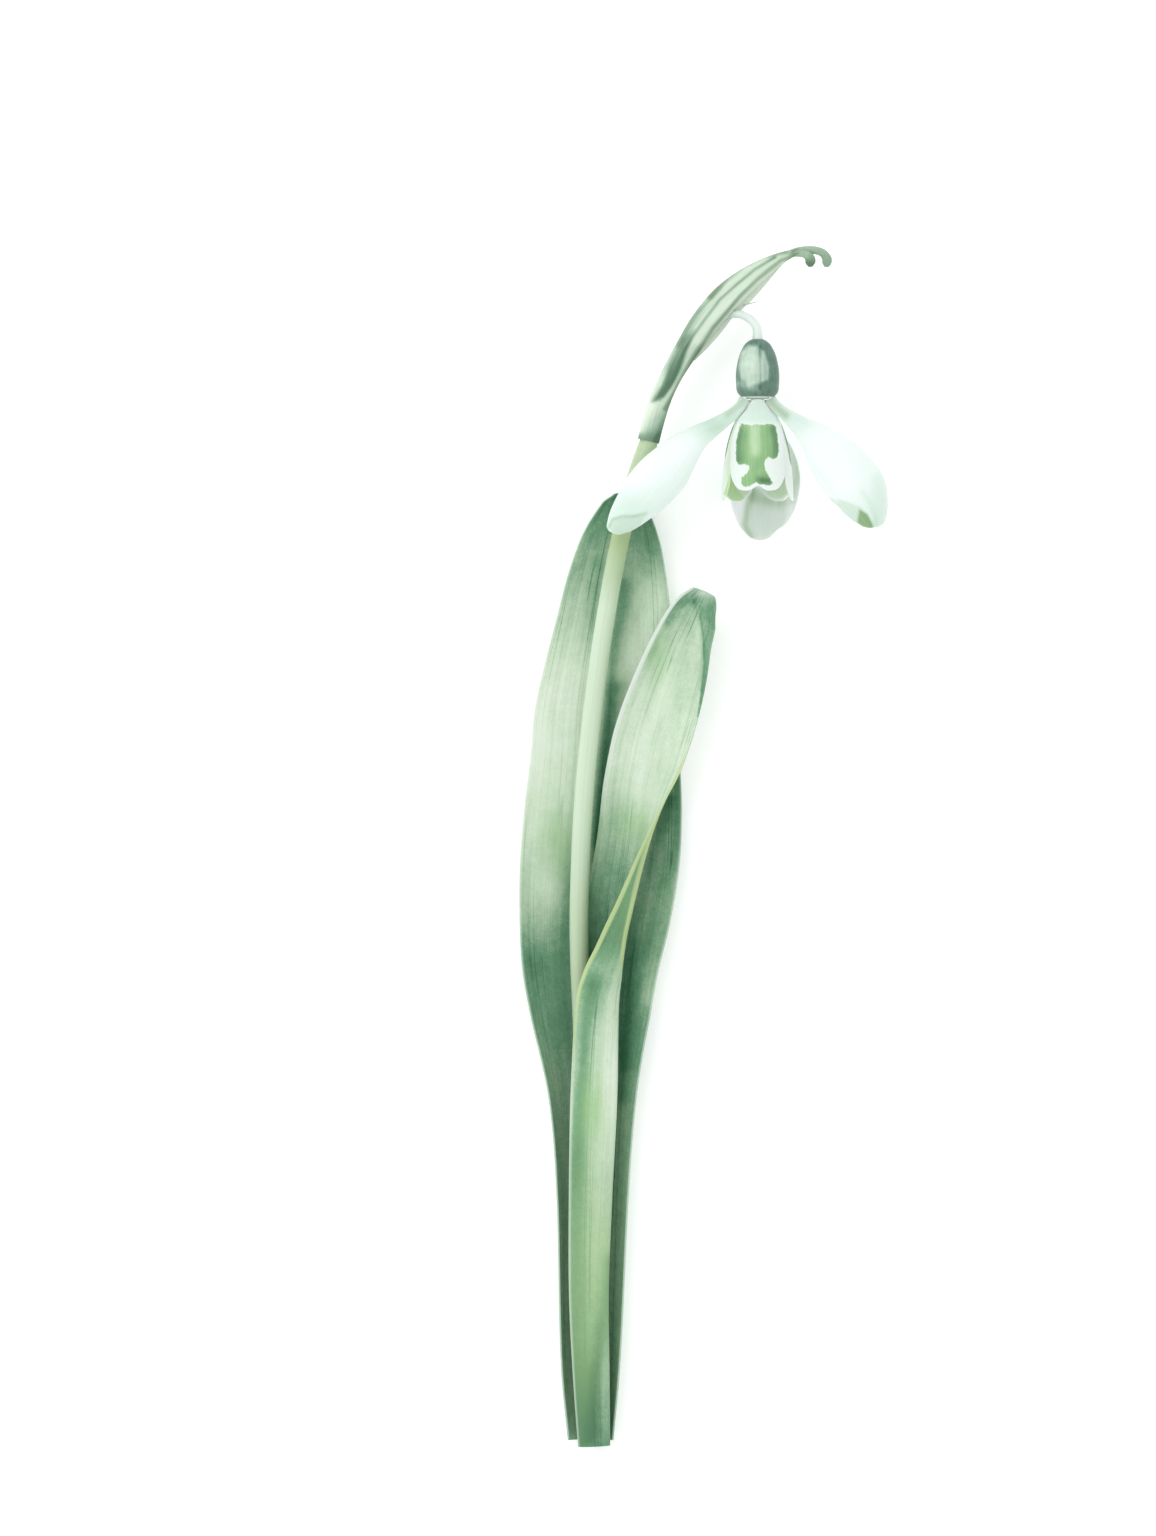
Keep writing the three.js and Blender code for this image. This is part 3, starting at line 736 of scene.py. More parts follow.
# %% Fresh green and bloom of the rolled leaf
def rolled_leaf_fresh(form):
    upper = spots(form, [(-6.3, 27.5, 1.8, 4.0, 0.5), (-10.5, 3.5, 3.0, 3.0, 0.4)])
    outer = spots(form, [(-16.6, -39, 1.8, 5, 0.5), (-15.5, -62, 1.4, 7, 0.35), (-18, -58, 2.5, 16, 0.15)])
    lower = spots(form, [(-18, -76, 2.0, 10, 0.15), (-15, -86, 3, 6, -0.2), (-12, -5, 3, 9, 0.2)])
    return np.where(form.inside > 0, upper, 0.15 + outer + lower)


def rolled_leaf_pale(form):
    left_margin = np.interp(form.u, [0, 0.55, 0.62, 0.9, 1.0], [0, 0, 0.8, 0.95, 0.5])
    left_margin = left_margin * step_up(-form.v, 0.86, 0.93)
    # A painted highlight on the corner of the fold at the tip.
    tip = 0.6 * spots(form, [(0.6, 38.2, 1.6, 0.9, 1.0)])
    sheath_edge = 0.36 * step_up(form.v, 0.88, 0.95) * step_up(-30 - form.y, 0, 8)
    return np.clip(left_margin + sheath_edge + tip, 0, 1)


# %% Margin and midrib of the rolled leaf
MIDRIB = [
    (-3.75, 10.5), (-6.4, 5.7), (-7.9, 1.5), (-8.8, -1.95), (-9.65, -4.95), (-10.5, -7.95), (-11.3, -10.95),
    (-11.9, -13.95), (-12.05, -16.95), (-12.5, -20.25),
]


def on_shoulder(form):
    """1 where the outer face turns from its side to its top, and 0 on the steep side below."""
    along, low, radius = np.array(ROLLED_LEAF)[:, 1:4].T
    rise = (form.z - np.interp(form.y, along, low + radius)) / np.interp(form.y, along, radius)
    return step_up(rise, -0.1, 0.05) * step_up(0.62 - rise, 0, 0.12)


def rolled_leaf_gold(form):
    margin = 0.8 * step_up(form.v, 0.89, 0.94) * step_up(0.68 - form.u, 0, 0.05)
    margin = margin * along_shoot(form, [(-90, 0.0), (-34, 0.1), (-26, 0.7), (-20, 1.0)])
    line = 0.85 * stroke(form, MIDRIB, 1.1) * (form.inside == 0) * on_shoulder(form)
    line = line * along_shoot(form, [(-20.5, 0), (-16, 1), (5, 1), (10, 0)])
    olive = 0.22 * spots(form, [(-17, -66, 4, 18, 1.0)]) * (form.inside == 0)
    return np.clip(np.maximum(margin, line) + olive, 0, 1)


rolled_leaf_brushes = {
    "tone": rolled_leaf_tone,
    "fresh": rolled_leaf_fresh,
    "pale": rolled_leaf_pale,
    "gold": rolled_leaf_gold,
}
make_piece(
    "leaf_front_blade", [rolled_leaf], rolled_leaf_skin, ["leaf_front"], rolled_leaf_brushes
)

# %% [markdown]
# ## The stem
# The stem is smooth, round and watery, a very pale yellow-green with faint lines along it. Painted shade
# makes it a little darker on the side that turns away from the lamp, a painted highlight runs along its
# left side, and the yellow-green under the left petal is partly that petal's painted shadow. A curve with a
# round bevel would do for its shape. A mesh is used so that it carries the same kind of coordinates and
# brushes as the leaves.

# %% Stem
STEM = [
    [-16.9, -89.2, 3.75], [-17.4, -79.0, 3.95], [-17.8, -66.8, 4.1], [-17.7, -51.8, 4.15],
    [-17.8, -37.9, 4.15], [-18.25, -24.4, 4.2], [-18.6, -16.2, 4.4], [-18.6, -6.9, 4.7], [-18.0, 6.5, 5.1],
    [-16.8, 18.9, 5.4], [-14.9, 32.9, 5.7], [-12.65, 45.3, 6.0], [-10.4, 54.3, 6.2], [-8.3, 60.4, 6.3],
]
STEM_RADIUS = {"cut": 1.44, "top": 1.4}
NECK_IN_HOOD = [-8.1, 61.3, 6.3, 1.05]
STEM_TONES = [(0.0, paint(216, 235, 212)), (0.5, paint(198, 220, 188)), (1.0, paint(166, 196, 150))]
# The gold is partly the stem's own yellow-green, and near 46 mm it is painted shadow of the left petal.
STEM_GOLD_AND_SHADOW = paint(172, 194, 140)
STEM_SHADE = [(-90, 0.5), (-20, 0.35), (-8, 0.2), (10, 0.08), (36, 0.15), (41, 0.5), (46, 0.6), (61, 0.35)]
STEM_YELLOW_AND_SHADOW = [
    (-90, 0.1), (-20, 0.4), (-10, 0.3), (2, 0.05), (36, 0.0), (43, 0.35), (46.5, 0.9), (52, 0.4), (61, 0.45),
]

stem_skin, tree, shader = plant_skin("stem_skin", roughness=0.4, see_through=0.25)
streaks = stretched_noise(tree, across=26, along=6)
tone = varied(tree, brushed(tree, "tone"), (streaks, 0.4), (stretched_noise(tree, across=4, along=14), 0.3))
colour = mixed(tree, brushed(tree, "gold"), toned(tree, tone, STEM_TONES), STEM_GOLD_AND_SHADOW)
dress(tree, shader, colour, streaks, depth=0.06)


def stem_tone(form):
    # Painted shade on the right side, away from the lamp, and a painted highlight along the left side.
    to_the_right = np.cos(np.pi * (form.v + 1) - np.pi / 2)
    shaded_right, lit_left = step_up(to_the_right, -0.2, 1.0), step_up(-to_the_right, 0.5, 0.9)
    along = along_shoot(form, STEM_SHADE)
    shaded_right = shaded_right * along_shoot(form, [(-20, 0.05), (10, 0.14), (35, 0.3)])
    return along + shaded_right - 0.25 * lit_left * along_shoot(form, [(10, 1.0), (25, 0.3)])


def stem_gold_and_shadow(form):
    return along_shoot(form, STEM_YELLOW_AND_SHADOW)


radii = np.linspace(STEM_RADIUS["cut"], STEM_RADIUS["top"], len(STEM))
stem_stations = [[*centre, radius] for centre, radius in zip(STEM, radii)] + [NECK_IN_HOOD]
stem_brushes = {"tone": stem_tone, "gold": stem_gold_and_shadow}
make_piece("stem", [stalk(stem_stations, 32, 200)], stem_skin, ["scape"], stem_brushes)

# %% [markdown]
# ## The hood
# The spathe is two small leaves grown together by a papery skin. The leaves are left as two green keels,
# and between them the skin is so thin that it looks cream. At the top the keels end in two little hooks.
# The hood is rolled like the front leaf, with the keels as low ridges on its outer face, and a torn
# fringe of the skin stands out beside its right keel.

# %% Hood form
HOOD = [
    [-8.25, 60.9, 6.3, 1.34, 60, 400], [-7.6, 63.5, 6.4, 1.34, 62, 396], [-6.5, 66.8, 6.6, 1.36, 75, 380],
    [-4.7, 70.7, 6.8, 1.46, 100, 356], [-2.3, 74.6, 7.0, 1.8, 120, 338], [0.3, 78.3, 7.2, 2.2, 130, 330],
    [3.5, 82.0, 7.4, 2.3, 130, 325], [6.7, 84.8, 7.7, 1.95, 132, 320], [9.7, 86.9, 8.0, 1.4, 135, 315],
    [12.2, 88.3, 8.3, 0.85, 140, 305], [14.4, 89.2, 8.5, 0.35, 150, 290],
]
OUTER_HOOK = [
    [12.6, 88.8, 8.5, 0.6], [14.4, 89.3, 8.5, 0.66], [16.3, 89.5, 8.4, 0.6], [17.8, 89.1, 8.3, 0.62],
    [18.5, 88.2, 8.3, 0.72], [18.48, 87.5, 8.2, 0.68], [18.4, 86.95, 8.15, 0.3],
]
INNER_HOOK = [
    [13.5, 89.0, 8.6, 0.5], [15.1, 88.9, 8.9, 0.6], [15.95, 88.2, 9.0, 0.76], [16.0, 87.5, 8.95, 0.72],
    [16.0, 86.95, 8.9, 0.3],
]
HOOD_THICKNESS = 0.35
KEELS = [(-0.68, 0.1), (0.02, 0.2)]
KEEL_HEIGHT = 0.28


def keels(u, v):
    return KEEL_HEIGHT * np.maximum.reduce([near(v, middle, reach) for middle, reach in KEELS])


hood = sheet(roll(HOOD), 260, 110, HOOD_THICKNESS, relief=keels)
hooks = [stalk(OUTER_HOOK, 20, 40), stalk(INNER_HOOK, 20, 30)]
print("hood points:", len(hood.points), "and in its hooks:", sum(len(hook.points) for hook in hooks))

# %% Hood finish
HOOD_TONES = [
    (0.0, paint(230, 244, 226)), (0.3, paint(205, 224, 204)), (0.65, paint(142, 172, 146)),
    (1.0, paint(88, 124, 96)),
]

hood_skin, tree, shader = plant_skin("hood_skin", roughness=0.5, see_through=0.2)
streaks = stretched_noise(tree, across=36, along=5)
washes = stretched_noise(tree, across=7, along=11, detail=4)
tone = varied(tree, brushed(tree, "tone"), (streaks, 0.3), (washes, 0.25))
colour = toned(tree, calculated(tree, "MULTIPLY_ADD", veins(tree, 16), 0.03, tone), HOOD_TONES)
dress(tree, shader, mixed(tree, brushed(tree, "olive"), colour, paint(150, 168, 134)), streaks, depth=0.06)

# %% Torn fringe
FRINGE = [
    [-1.4, 73.0, 7.4, 0.1, 20], [0.3, 75.2, 7.5, 0.5, 20], [2.3, 77.8, 7.6, 0.7, 20],
    [3.9, 79.6, 7.7, 0.5, 20], [5.2, 81.0, 7.8, 0.7, 20], [6.9, 82.7, 7.9, 0.75, 20],
    [8.7, 84.5, 8.1, 0.6, 20], [10.6, 86.4, 8.3, 0.35, 20], [12.0, 87.6, 8.4, 0.1, 20],
]
SPUR = [[5.9, 81.2, 7.9, 0.12], [7.0, 81.5, 7.9, 0.1], [8.4, 81.8, 7.9, 0.04]]
FRINGE_THICKNESS = 0.12

fringe = sheet(blade(FRINGE), 90, 12, FRINGE_THICKNESS)
spur = stalk(SPUR, 8, 8)
print("fringe points:", len(fringe.points))

# %% Lines and bands on the hood
LEFT_LINE = [
    (-6.1, 67.65), (-4.4, 70.35), (-2.9, 74.25), (-1.7, 76.35), (0.2, 79.05), (2.5, 82.05), (5.15, 84.45),
    (7.7, 86.55), (10.7, 88.35),
]
RIGHT_KEEL = [
    (-5.75, 65.7), (-3.8, 68.85), (-2.15, 71.7), (-0.4, 74.85), (1.55, 77.85), (3.2, 79.8), (5.45, 82.5),
    (8, 85.05), (11.6, 87.9), (14.9, 88.95),
]
WEDGE = [
    (-7.7, 66.75), (-6.2, 69.3), (-5, 72.45), (-3.05, 76.2), (-1.4, 77.55), (-2.5, 74.25), (-3.5, 71.55),
    (-4.9, 69), (-6.4, 67.05),
]
WEDGE_STRENGTH = [(66, 1.0), (71, 0.9), (76, 0.5), (78, 0.35)]
BAND_STRENGTH = [(61, 0.75), (66, 0.7), (71, 0.6), (76, 0.35)]
UPPER_EDGE = [(1, 82.65), (1.9, 83.7), (3.65, 85.5), (6.1, 87.45), (8.8, 88.65), (12.05, 89.4)]
RIGHT_BAND = [(-0.5, 74.25), (-2, 71.25), (-3.5, 67.65), (-4.9, 64.05), (-5.9, 61.05)]
LEFT_OUTLINE = [(-3.8, 75.45), (-1.7, 78.75), (0.4, 81.75), (2.15, 83.85)]
LEFT_BAND = [(-5.9, 72.15), (-4.6, 74.85), (-2.9, 77.85), (-1.1, 80.85)]
# A painted highlight on the left of the collar.
LEFT_COLLAR_HIGHLIGHT = [(-8, 66.15), (-8.8, 64.35), (-9.4, 62.55)]
HOOD_TIP = [(13.7, 89.25), (16.25, 89.55), (18.4, 89.25), (18.8, 87.75)]

# %% Hood colours
def hood_tone(form):
    if form is spur:
        return 0.25
    if form is fringe:
        return 0.12 + 0.3 * step_up(np.abs(form.v), 0.6, 1.0)
    if form in hooks:
        return 0.55 + (0.45 if form is hooks[1] else 0.1) * step_up(form.u, 0.3, 0.8)
    tone = 0.2 + 0.8 * patch(form, WEDGE, 1.0) * along_shoot(form, WEDGE_STRENGTH)
    band = along_shoot(form, BAND_STRENGTH) * step_up(78 - form.y, 0, 4)
    tone = tone + band * stroke(form, RIGHT_BAND, 2.0)
    tone = tone + 0.42 * step_up(63.6 - form.y, 0, 3.0) + 0.2 * step_up(67 - form.y, 0, 4)
    tone = tone + strokes(form, (LEFT_LINE, 0.42, 0.42), (RIGHT_KEEL, 0.5, 0.42), (LEFT_OUTLINE, 1.1, 0.3))
    tone = tone + strokes(form, (UPPER_EDGE, 0.8, 0.62), (HOOD_TIP, 1.6, 0.5))
    return tone + strokes(form, (LEFT_BAND, 1.6, 0.2), (LEFT_COLLAR_HIGHLIGHT, 1.0, -0.36))


def hood_olive(form):
    if form is spur or form in hooks:
        return 0.1
    return strokes(form, (RIGHT_KEEL, 0.5, 0.35), (UPPER_EDGE, 0.8, 0.5))


hood_forms = [hood, *hooks, fringe, spur]
make_piece("hood", hood_forms, hood_skin, ["spathe"], {"tone": hood_tone, "olive": hood_olive})

# %% [markdown]
# ## Stalk and ovary
# The flower hangs from a thread-thin stalk, almost white. Below it sits the ovary, an egg with its narrow
# end at the stalk. It is deep blue-green with faint ribs, and on its upper side a pale patch, partly bloom
# and partly painted highlight, lies between the ribs. A short pale neck under it carries the petals, and
# closes the view between them from the side.

# %% Stalk
FLOWER_X = 8.1
FLOWER_Z = 9.6
OVARY_TOP = 76.1
OVARY_LENGTH = 8.6
OVARY_WIDTH = 6.6
STALK_RADIUS = 0.62

inside_hood = [[x, y, z, STALK_RADIUS] for x, y, z, *_ in HOOD[1:5]]
STALK = [
    [-8.2, 61.2, 6.3, STALK_RADIUS], *inside_hood, [0.7, 77.9, 7.0, STALK_RADIUS],
    [3.2, 79.6, 7.4, STALK_RADIUS], [5.3, 79.9, 8.2, STALK_RADIUS], [7.1, 79.0, 9.05, STALK_RADIUS],
    [8.0, 77.7, 9.5, 0.66], [FLOWER_X, OVARY_TOP - 0.1, FLOWER_Z, 0.8],
]
# Painted shade along the inner side of the stalk's curve.
INNER_CURVE_SHADE = [(3.05, 79.05), (4.7, 79.2), (6.2, 78.6), (7.1, 77.4), (7.4, 75.9)]

stalk_skin, tree, shader = plant_skin("stalk_skin", roughness=0.4, see_through=0.3)
streaks = stretched_noise(tree, across=10, along=9)
tone = varied(tree, brushed(tree, "tone"), (streaks, 0.5))
colour = toned(tree, tone, [(0.0, paint(240, 249, 247)), (1.0, paint(190, 212, 198))])
dress(tree, shader, colour, streaks, depth=0.04)
stalk_brushes = {"tone": lambda form: 0.2 + 0.45 * stroke(form, INNER_CURVE_SHADE, 0.8)}
make_piece("flower_stalk", [stalk(STALK, 20, 160)], stalk_skin, ["pedicel"], stalk_brushes)

# %% Ovary form
OVARY_PROFILE = [
    [0, 0.001], [0.22, 0.0], [0.44, 0.04], [0.64, 0.12], [0.83, 0.27], [0.95, 0.45], [1, 0.62], [0.99, 0.78],
    [0.94, 0.92], [0.76, 1.0], [0.56, 1.012], [0.5, 1.04], [0, 1.05],
]
RIBS = 6
RIB_HEIGHT = 0.012


def turned(profile, rows, sides):
    """A form turned about the flower's axis, with shallow ribs along it."""
    u, turn = np.meshgrid(np.linspace(0, 1, rows + 1), np.arange(sides) * 2 * np.pi / sides, indexing="ij")
    out, down = np.moveaxis(smooth(profile, u), -1, 0)
    radius = np.maximum(out, 0) * (1 + RIB_HEIGHT * np.cos(RIBS * turn)) * OVARY_WIDTH / 2
    across, y, z = radius * np.sin(turn), OVARY_TOP - down * OVARY_LENGTH, FLOWER_Z + radius * np.cos(turn)
    points = np.stack([FLOWER_X + across, y, z], -1).reshape(-1, 3)
    return Form(points, tube_faces(sides, rows), down.ravel(), turn.ravel() / np.pi - 1, 0 * down.ravel())


# %% Ovary colours
OVARY_TONES = [
    (0.0, paint(216, 236, 218)), (0.3, paint(186, 210, 193)), (0.65, paint(122, 154, 138)),
    (1.0, paint(78, 112, 98)),
]
# The two pale patches are partly waxy bloom and partly painted highlight, and the bright stroke is a painted
# highlight.
BLOOM_AND_HIGHLIGHT = [
    (5.15, 72.15), (5.6, 74.1), (6.7, 75.15), (8.15, 75), (8.6, 72.3), (8.45, 69.3), (6.7, 69), (5.45, 70.35),
]
SMALL_BLOOM_AND_HIGHLIGHT = [(8.4, 74.55), (9.05, 74.25), (9.8, 72), (9.65, 69.9), (8.45, 69.45)]
RIB = [(8.4, 75), (8.45, 72.75), (8.55, 70.65), (8.4, 68.55)]
BRIGHT = [(6.95, 73.35), (7.1, 71.55)]
GREY_BAND = [(5.3, 69.45), (6.4, 68.85), (7.7, 68.55)]

ovary_skin, tree, shader = plant_skin("ovary_skin", roughness=0.45, see_through=0.08)
streaks = stretched_noise(tree, across=36, along=2.5, detail=4)
washes = stretched_noise(tree, across=9, along=6)
tone = varied(tree, brushed(tree, "tone"), (streaks, 0.5), (washes, 0.4))
colour = mixed(tree, brushed(tree, "neck"), toned(tree, tone, OVARY_TONES), paint(222, 238, 226))
dress(tree, shader, colour, streaks, depth=0.08)


def ovary_tone(form):
    # Painted highlight, partly over bloom, on the upper side of the ovary.
    tone = 0.86 - 0.6 * patch(form, BLOOM_AND_HIGHLIGHT, 1.0) - 0.46 * patch(form, SMALL_BLOOM_AND_HIGHLIGHT, 0.6)
    tone = tone + strokes(form, (BRIGHT, 1.6, -0.14), (GREY_BAND, 0.9, -0.3), (RIB, 0.28, 0.3))
    return np.where(form.z > FLOWER_Z, tone, 0.8)


ovary_brushes = {"tone": ovary_tone, "neck": lambda form: step_up(form.u, 1.0, 1.006)}
make_piece("ovary_skin", [turned(OVARY_PROFILE, 120, 120)], ovary_skin, ["ovary"], ovary_brushes)

# %% [markdown]
# ## The outer petals
# Outer petals are spoons on narrow claws. They are thin and white, with a painted cool shade where they
# curve away, hardly visible veins, and a touch of green at the claw and at the tip. Light passes through
# them, which the shader's subsurface scattering shows. At two tips the margin curls in. Its line is
# brushed on as painted shadow, and the green behind it as painted shade, on the right tip together with
# the tip's own green.

# %% Petal finish
PETAL_TONES = [
    (0.0, paint(244, 249, 251)), (0.35, paint(230, 243, 239)), (0.7, paint(212, 232, 222)),
    (1.0, paint(186, 210, 194)),
]
PETAL_GREEN = paint(148, 180, 138)

petal_skin, tree, shader = plant_skin("petal_skin", roughness=0.55, see_through=0.7, sheen=0.25)
streaks = stretched_noise(tree, across=22, along=2.5)
washes = stretched_noise(tree, across=3, along=5)
lines = veins(tree, 15)
tone = varied(tree, brushed(tree, "tone"), (streaks, 0.14), (washes, 0.22))
colour = toned(tree, calculated(tree, "MULTIPLY_ADD", lines, 0.03, tone), PETAL_TONES)
green = calculated(tree, "MULTIPLY", brushed(tree, "green"), varied(tree, 1.0, (streaks, 0.8)), clamp=True)
colour = mixed(tree, green, colour, PETAL_GREEN)
dress(tree, shader, colour, calculated(tree, "MULTIPLY_ADD", lines, 0.4, streaks), depth=0.05)

# %% Making an outer petal
PETAL_THICKNESS = 0.35
PETAL_MESH = 150, 110
PETAL_TIP = 0.03


def outer_petal(side, stations, turn, tone, green):
    """Makes the petal on this side from its stations and its two brushes."""
    form = rest_on_table(sheet(blade(stations, turn), *PETAL_MESH, PETAL_THICKNESS, PETAL_TIP))
    brushes = {"tone": tone, "green": green}
    make_piece(f"petal_{side}", [form], petal_skin, [f"outer_petal_{side}"], brushes)


# %% Left petal
LEFT_PETAL = [
    [6.1, 67.2, 10.4, 1.0, 50], [5.4, 66.0, 10.6, 1.0, 60], [3.9, 64.7, 10.9, 1.2, 70],
    [1.2, 63.0, 11.4, 1.7, 80], [-1.3, 61.6, 12.0, 2.5, 90], [-3.8, 59.6, 12.7, 3.7, 95],
    [-6.4, 56.9, 13.3, 4.8, 98], [-9.0, 54.1, 13.7, 4.8, 102], [-11.2, 51.4, 13.6, 4.0, 108],
    [-13.0, 49.0, 13.0, 2.9, 114], [-14.1, 47.3, 12.3, 1.3, 120],
]
# LEFT_LIGHT is a painted highlight. The curl is painted shade inside the curled tip, and the lip a line of
# painted shadow above it.
LEFT_LIGHT = [(-9.5, 55.65), (-6.2, 57.75), (-2.3, 61.05)]
LEFT_CURL_SHADE = [
    (-14.3, 48), (-13.55, 49.2), (-11.3, 49.5), (-8.6, 49.8), (-9.5, 48.15), (-10.9, 46.5), (-13.55, 46.8),
]
LEFT_LIP = [(-14.15, 47.85), (-13.7, 49.05), (-12.2, 49.5), (-10.4, 49.5), (-8.6, 49.95)]
LEFT_CLAW = [(6.4, 67.2), (5.15, 66), (3.65, 64.8)]


def left_tone(form):
    tone = 0.5 - 0.42 * stroke(form, LEFT_LIGHT, 4.6) + 0.08 * patch(form, LEFT_CURL_SHADE, 0.5)
    tone = tone + 0.35 * stroke(form, LEFT_LIP, 0.45)
    # Two spots of painted shade, near the claw and near the tip.
    tone = tone + spots(form, [(0.5, 63.0, 5, 2.5, 0.4), (-11.5, 51, 3, 2, 0.1)])
    return np.where(form.inside > 0, 0.4, tone)


def left_green(form):
    seen = form.inside == 0
    # The green in the curl is painted shade, and the claw's green is its own.
    return seen * (0.2 * patch(form, LEFT_CURL_SHADE, 0.6) + 0.4 * stroke(form, LEFT_CLAW, 1.0))


outer_petal("left", LEFT_PETAL, 150, left_tone, left_green)

# %% Right petal
RIGHT_PETAL = [
    [10.05, 67.2, 10.4, 0.95, 50], [10.9, 66.1, 10.6, 1.0, 60], [12.5, 64.8, 10.9, 1.2, 70],
    [14.8, 63.2, 11.3, 2.0, 80], [17.2, 61.6, 12.0, 3.4, 88], [19.8, 59.2, 12.7, 5.0, 93],
    [22.2, 56.6, 13.2, 5.7, 98], [24.2, 54.1, 13.4, 5.6, 102], [25.2, 51.7, 13.2, 4.9, 107],
    [25.8, 49.5, 12.8, 3.6, 112], [26.0, 47.9, 12.3, 2.0, 118],
]
# RIGHT_LIGHT is a painted highlight. The lip and the fold are lines of painted shadow, the patch behind the
# lip is painted shade, and the spot at the tip is partly the tip's own green and partly painted shade.
RIGHT_LIGHT = [(18.05, 60.75), (20.2, 57.75), (21.4, 54.75)]
RIGHT_LIP = [(18.4, 52.2), (20.9, 51.75), (23.45, 50.7), (24.5, 49.65), (25.4, 47.4)]
SHADE_BEHIND_LIP = [
    (18.7, 52.05), (20.9, 51.75), (23.45, 50.7), (24.5, 49.5), (25.4, 47.25), (23.75, 46.05), (20.45, 49.05),
]
RIGHT_TIP_GREEN_AND_SHADE = [(23.3, 50.4), (24.4, 49.8), (25.25, 48.3), (25.4, 47.1), (24.05, 46.95), (23, 48.45)]
RIGHT_FOLD = [(23.6, 53.1), (24.8, 51.6), (25.55, 49.65), (25.9, 47.4)]
RIGHT_SHADE = [(26.2, 55.05), (26.6, 51.3), (26.3, 48.3)]
RIGHT_CLAW = [(9.65, 67.35), (10.7, 66), (12.2, 64.65)]


def right_tone(form):
    # Painted shade behind the lip and near the claw, and a painted highlight down the middle.
    tone = 0.4 + 0.22 * patch(form, SHADE_BEHIND_LIP, 0.5) + spots(form, [(14, 63.5, 3, 2, 0.2)])
    tone = tone + strokes(form, (RIGHT_LIGHT, 5.5, -0.36), (RIGHT_SHADE, 2.0, 0.22))
    tone = tone + strokes(form, (RIGHT_LIP, 0.4, 0.12), (RIGHT_FOLD, 0.8, 0.22))
    return np.where(form.inside > 0, 0.4, tone)


def right_green(form):
    seen = form.inside == 0
    # The tip's spot is partly its own green and partly painted shade, and the claw's green is its own.
    spot = 1.1 * patch(form, RIGHT_TIP_GREEN_AND_SHADE, 0.7) + 0.15 * patch(form, SHADE_BEHIND_LIP, 0.8)
    return seen * np.clip(spot + 0.6 * stroke(form, RIGHT_CLAW, 1.2), 0, 1)


outer_petal("right", RIGHT_PETAL, -150, right_tone, right_green)

# %% Back petal
BACK_PETAL = [
    [8.1, 66.9, 7.0, 0.8, 50], [8.2, 65.4, 6.1, 1.1, 60], [8.5, 63.0, 4.5, 2.3, 70],
    [9.0, 60.0, 3.2, 4.6, 78], [9.3, 56.5, 1.9, 5.7, 82], [9.2, 53.3, 1.0, 5.6, 84],
    [8.9, 50.6, 0.35, 4.9, 86], [8.6, 48.3, 0.15, 3.6, 88], [8.6, 46.1, 0.45, 1.3, 90],
]
# The green inside the back petal is painted shade in its hollow under the cup: a patch, a line along its left
# edge, its top and a strip on its right.
BACK_GREEN_SHADE = [
    (7.25, 53.85), (12.2, 54.15), (12.8, 51.3), (12.4, 48.75), (11, 46.65), (9.2, 45.75), (6.95, 46.35),
    (6.1, 48), (6.5, 50.85),
]
BACK_LINE = [(7.55, 53.7), (6.7, 51.45), (6.2, 48.45), (7.1, 46.65)]
BACK_TOP = [(7.9, 52.5), (9.65, 52.2), (11.45, 51.9)]
BACK_STRIP = [(14, 61.05), (14.3, 58.05), (14, 54.75), (13.4, 52.05)]


def back_tone(form):
    return np.where(form.inside > 0, 0.0, 0.35) + 0.1 * np.abs(form.v) ** 4


def back_green(form):
    # Painted shade, in green, on the inside of the back petal.
    lines = strokes(form, (BACK_LINE, 0.9, 0.38), (BACK_TOP, 1.6, 0.3), (BACK_STRIP, 1.0, 0.3))
    return form.inside * np.clip(0.27 * patch(form, BACK_GREEN_SHADE, 1.2) + lines, 0, 1)


outer_petal("back", BACK_PETAL, 0, back_tone, back_green)

# %% [markdown]
# ## The inner petals and their green marks
# The three inner petals stand close as a cup, and each has a notch in its end. Their marks are what
# gardeners tell snowdrops apart by: here a broad patch above, and below a narrow waist a chevron that
# follows the notch. A mark could be painted on an image. Instead, its outline is listed once for the
# front petal, each point gets its depth inside that outline, and the finish draws a ragged edge where the
# depth passes 0. The two side petals are the front one turned about the flower's axis, a little longer,
# wider and more curled, and they reach round the claw. Their marks are the same outline, turned with them.

# %% Inner petal form
INNER_PETAL = [
    [8.1, 67.0, 11.3, 0.85, 50], [8.1, 65.9, 11.7, 1.6, 70], [8.1, 64.6, 12.4, 2.9, 85],
    [8.1, 62.8, 13.1, 3.9, 95], [8.1, 60.6, 13.6, 4.5, 98], [8.1, 57.8, 13.9, 4.7, 100],
    [8.1, 55.4, 14.0, 4.5, 100], [8.1, 53.3, 14.0, 4.2, 98],
]
SIDE_FLARE = 0.24
SIDE_LONGER = 1.4
SIDE_WIDER = 1.12
SIDE_CURL = 1.4
CLAW_WRAP = [0, 0.14, 0.28, 0.42], [2.4, 1.5, 1.08, 1.0]
LESS_AT_BACK = 0.92
FACING_UP = 180
CUP_MESH = 160, 120
NOTCH = {"depth": 0.05, "width": 0.2, "corner": 0.16}


def notched(v):
    v = np.minimum(np.abs(v), 1)
    return 1 - NOTCH["depth"] * np.exp(-((v / NOTCH["width"]) ** 2)) - NOTCH["corner"] * v**6


